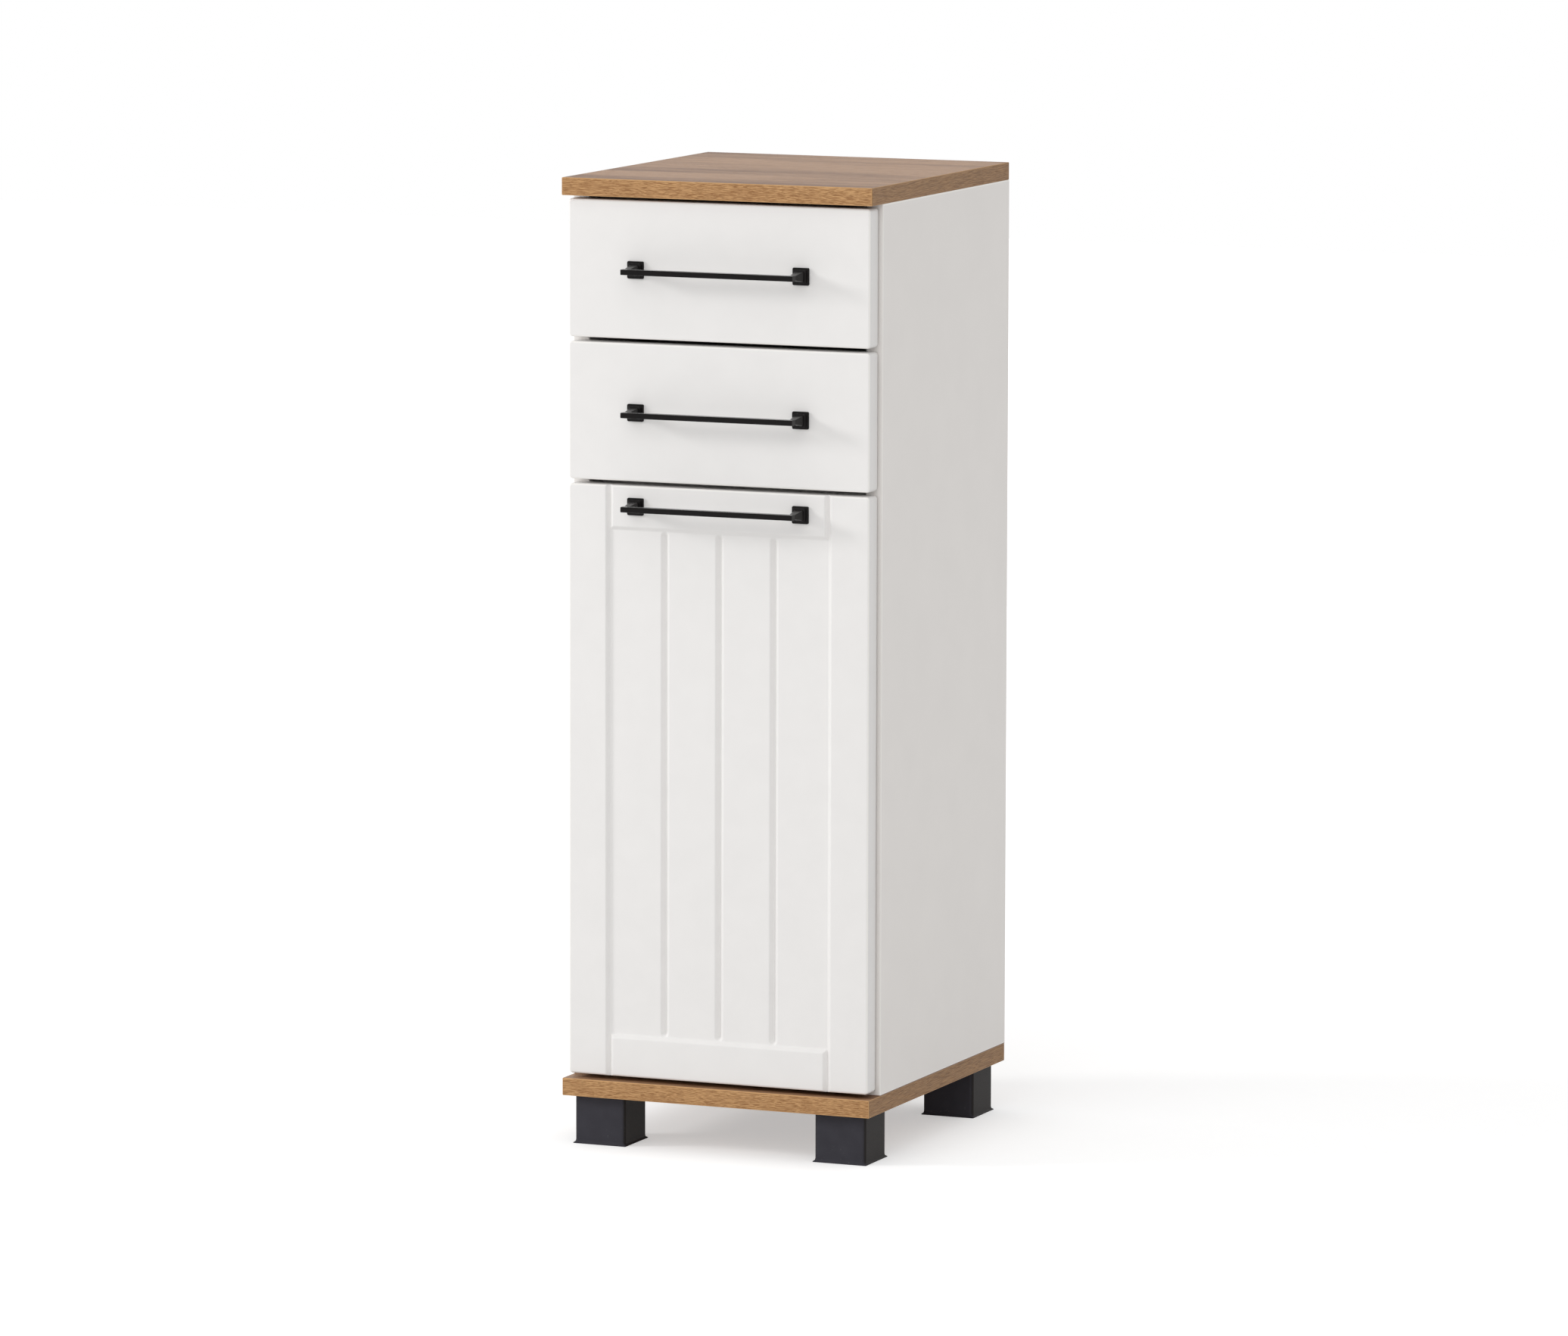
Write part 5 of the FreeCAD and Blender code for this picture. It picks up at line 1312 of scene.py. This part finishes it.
class CABINET_OT_studio(bpy.types.Operator):
    """The pale floor, the soft light and the camera"""

    bl_idname = "cabinet.studio"
    bl_label = "Studio"

    def execute(self, context):
        studio = context.scene.cabinet_studio
        self.floor(studio)
        self.sky(context, studio)
        self.lamp(context, studio, "key")
        self.lamp(context, studio, "fill")
        self.camera(context, studio)
        context.scene.view_settings.view_transform = "Standard"
        return {"FINISHED"}

    def shown(self, tree):
        """1 for what the camera sees, straight, mirrored or through glass."""
        path = tree.nodes.new("ShaderNodeLightPath").outputs
        seen = maths("MAXIMUM", path["Is Camera Ray"], path["Is Glossy Ray"])
        return maths("MAXIMUM", seen, path["Is Transmission Ray"])

    def floor(self, studio):
        """A square of matt floor, which the camera sees a little lighter than the lamps make it."""
        reach = studio.floor_reach
        mesh = bpy.data.meshes.new("studio_floor")
        corners = [(-reach, -reach, 0), (reach, -reach, 0), (reach, reach, 0), (-reach, reach, 0)]
        mesh.from_pydata(corners, [], [(0, 1, 2, 3)])
        floor = bpy.data.objects.new("studio_floor", mesh)
        bpy.context.scene.collection.objects.link(floor)
        material, where, shader = new_material("studio_floor")
        tree = material.node_tree
        tree.nodes.remove(shader)
        speckle = noise(where["Object"], scale=40, detail=3)
        paler = tuple(min(channel * 1.03, 1) for channel in studio.floor_tone)
        tone = mix(speckle, studio.floor_tone, paler)
        matt = add("ShaderNodeBsdfDiffuse", {"Color": tone})
        away = vectors("LENGTH", where["Object"])
        full_lift = studio.floor_lift + studio.floor_far_lift
        lift = remap(away, studio.floor_near, studio.floor_far, studio.floor_lift, full_lift)
        strength = maths("MULTIPLY", self.shown(tree), lift)
        lift = add("ShaderNodeEmission", {"Color": WHITE, "Strength": strength})
        both = add("ShaderNodeAddShader", {0: matt.outputs[0], 1: lift.outputs[0]})
        feed(tree.nodes["Material Output"].inputs["Surface"], both.outputs[0])
        mesh.materials.append(material)

    def sky(self, context, studio):
        """Even light from all round, and a white background for the camera."""
        world = bpy.data.worlds.new("studio_sky")
        world.use_nodes = True
        tree = world.node_tree
        tone = mix(self.shown(tree), (studio.sky,) * 3, WHITE)
        feed(tree.nodes["Background"].inputs["Color"], tone)
        context.scene.world = world

    def lamp(self, context, studio, role):
        """A round soft lamp, the key or the fill, that shines at the cabinet's middle."""
        light = bpy.data.lights.new(role + "_light", "AREA")
        light.shape = "DISK"
        light.size = getattr(studio, role + "_size")
        light.energy = getattr(studio, role + "_power")
        lamp = bpy.data.objects.new(role + "_light", light)
        context.scene.collection.objects.link(lamp)
        towards = Vector(getattr(studio, role + "_from")).normalized()
        lamp.location = Vector(studio.aim) + towards * studio.lamp_distance
        lamp.rotation_euler = towards.to_track_quat("Z", "Y").to_euler()

    def camera(self, context, studio):
        """The camera's place is its distance behind the aim, moved by its two shifts across that line."""
        lens = bpy.data.cameras.new("camera")
        lens.sensor_width = SENSOR_WIDTH
        lens.lens = studio.focal / PHOTO_WIDTH * SENSOR_WIDTH
        lens.clip_start, lens.clip_end = CLIP_START, CLIP_END
        camera = bpy.data.objects.new("camera", lens)
        context.scene.collection.objects.link(camera)
        turn, rise, roll = studio.azimuth, studio.elevation, studio.roll
        level = math.cos(rise)
        back = Vector((math.sin(turn) * level, -math.cos(turn) * level, math.sin(rise)))
        right = Vector((math.cos(turn), math.sin(turn), 0))
        up = back.cross(right)
        place = Vector(studio.aim) + right * studio.shift_right + up * studio.shift_up
        place += back * studio.distance
        across = right * math.cos(roll) - up * math.sin(roll)
        upward = right * math.sin(roll) + up * math.cos(roll)
        axes = Matrix((across, upward, back)).transposed()
        camera.matrix_world = Matrix.Translation(place) @ axes.to_4x4()
        context.scene.camera = camera


# The add-on


GROUPS_OF_VALUES = {
    "cabinet_fronts": FrontSizes,
    "cabinet_handles": HandleSizes,
    "cabinet_feet": FootSizes,
    "cabinet_fasteners": FastenerSizes,
    "cabinet_finishes": FinishColours,
    "cabinet_studio": StudioSizes,
}
OPERATORS = (
    CABINET_OT_fronts,
    CABINET_OT_handles,
    CABINET_OT_feet,
    CABINET_OT_screws,
    CABINET_OT_buffers,
    CABINET_OT_finishes,
    CABINET_OT_studio,
)


class CABINET_PT_sidebar(bpy.types.Panel):
    """Lists the pieces and the values that they are made from"""

    bl_label = "Narrow base cabinet"
    bl_space_type = "VIEW_3D"
    bl_region_type = "UI"
    bl_category = "Cabinet"

    def draw(self, context):
        for operator in OPERATORS:
            self.layout.operator(operator.bl_idname)
        for name, group in GROUPS_OF_VALUES.items():
            box = self.layout.box()
            box.label(text=group.__doc__)
            for value in group.__annotations__:
                box.prop(getattr(context.scene, name), value)


def register():
    for item in (*GROUPS_OF_VALUES.values(), *OPERATORS, CABINET_PT_sidebar):
        bpy.utils.register_class(item)
    for name, group in GROUPS_OF_VALUES.items():
        setattr(bpy.types.Scene, name, PointerProperty(type=group))


def unregister():
    for name in GROUPS_OF_VALUES:
        delattr(bpy.types.Scene, name)
    for item in reversed((*GROUPS_OF_VALUES.values(), *OPERATORS, CABINET_PT_sidebar)):
        bpy.utils.unregister_class(item)


def main():
    register()
    bpy.ops.cabinet.fronts()
    bpy.ops.cabinet.handles()
    bpy.ops.cabinet.feet()
    bpy.ops.cabinet.screws()
    bpy.ops.cabinet.buffers()
    bpy.ops.cabinet.finishes()
    bpy.ops.cabinet.studio()


if __name__ == "__main__":
    main()
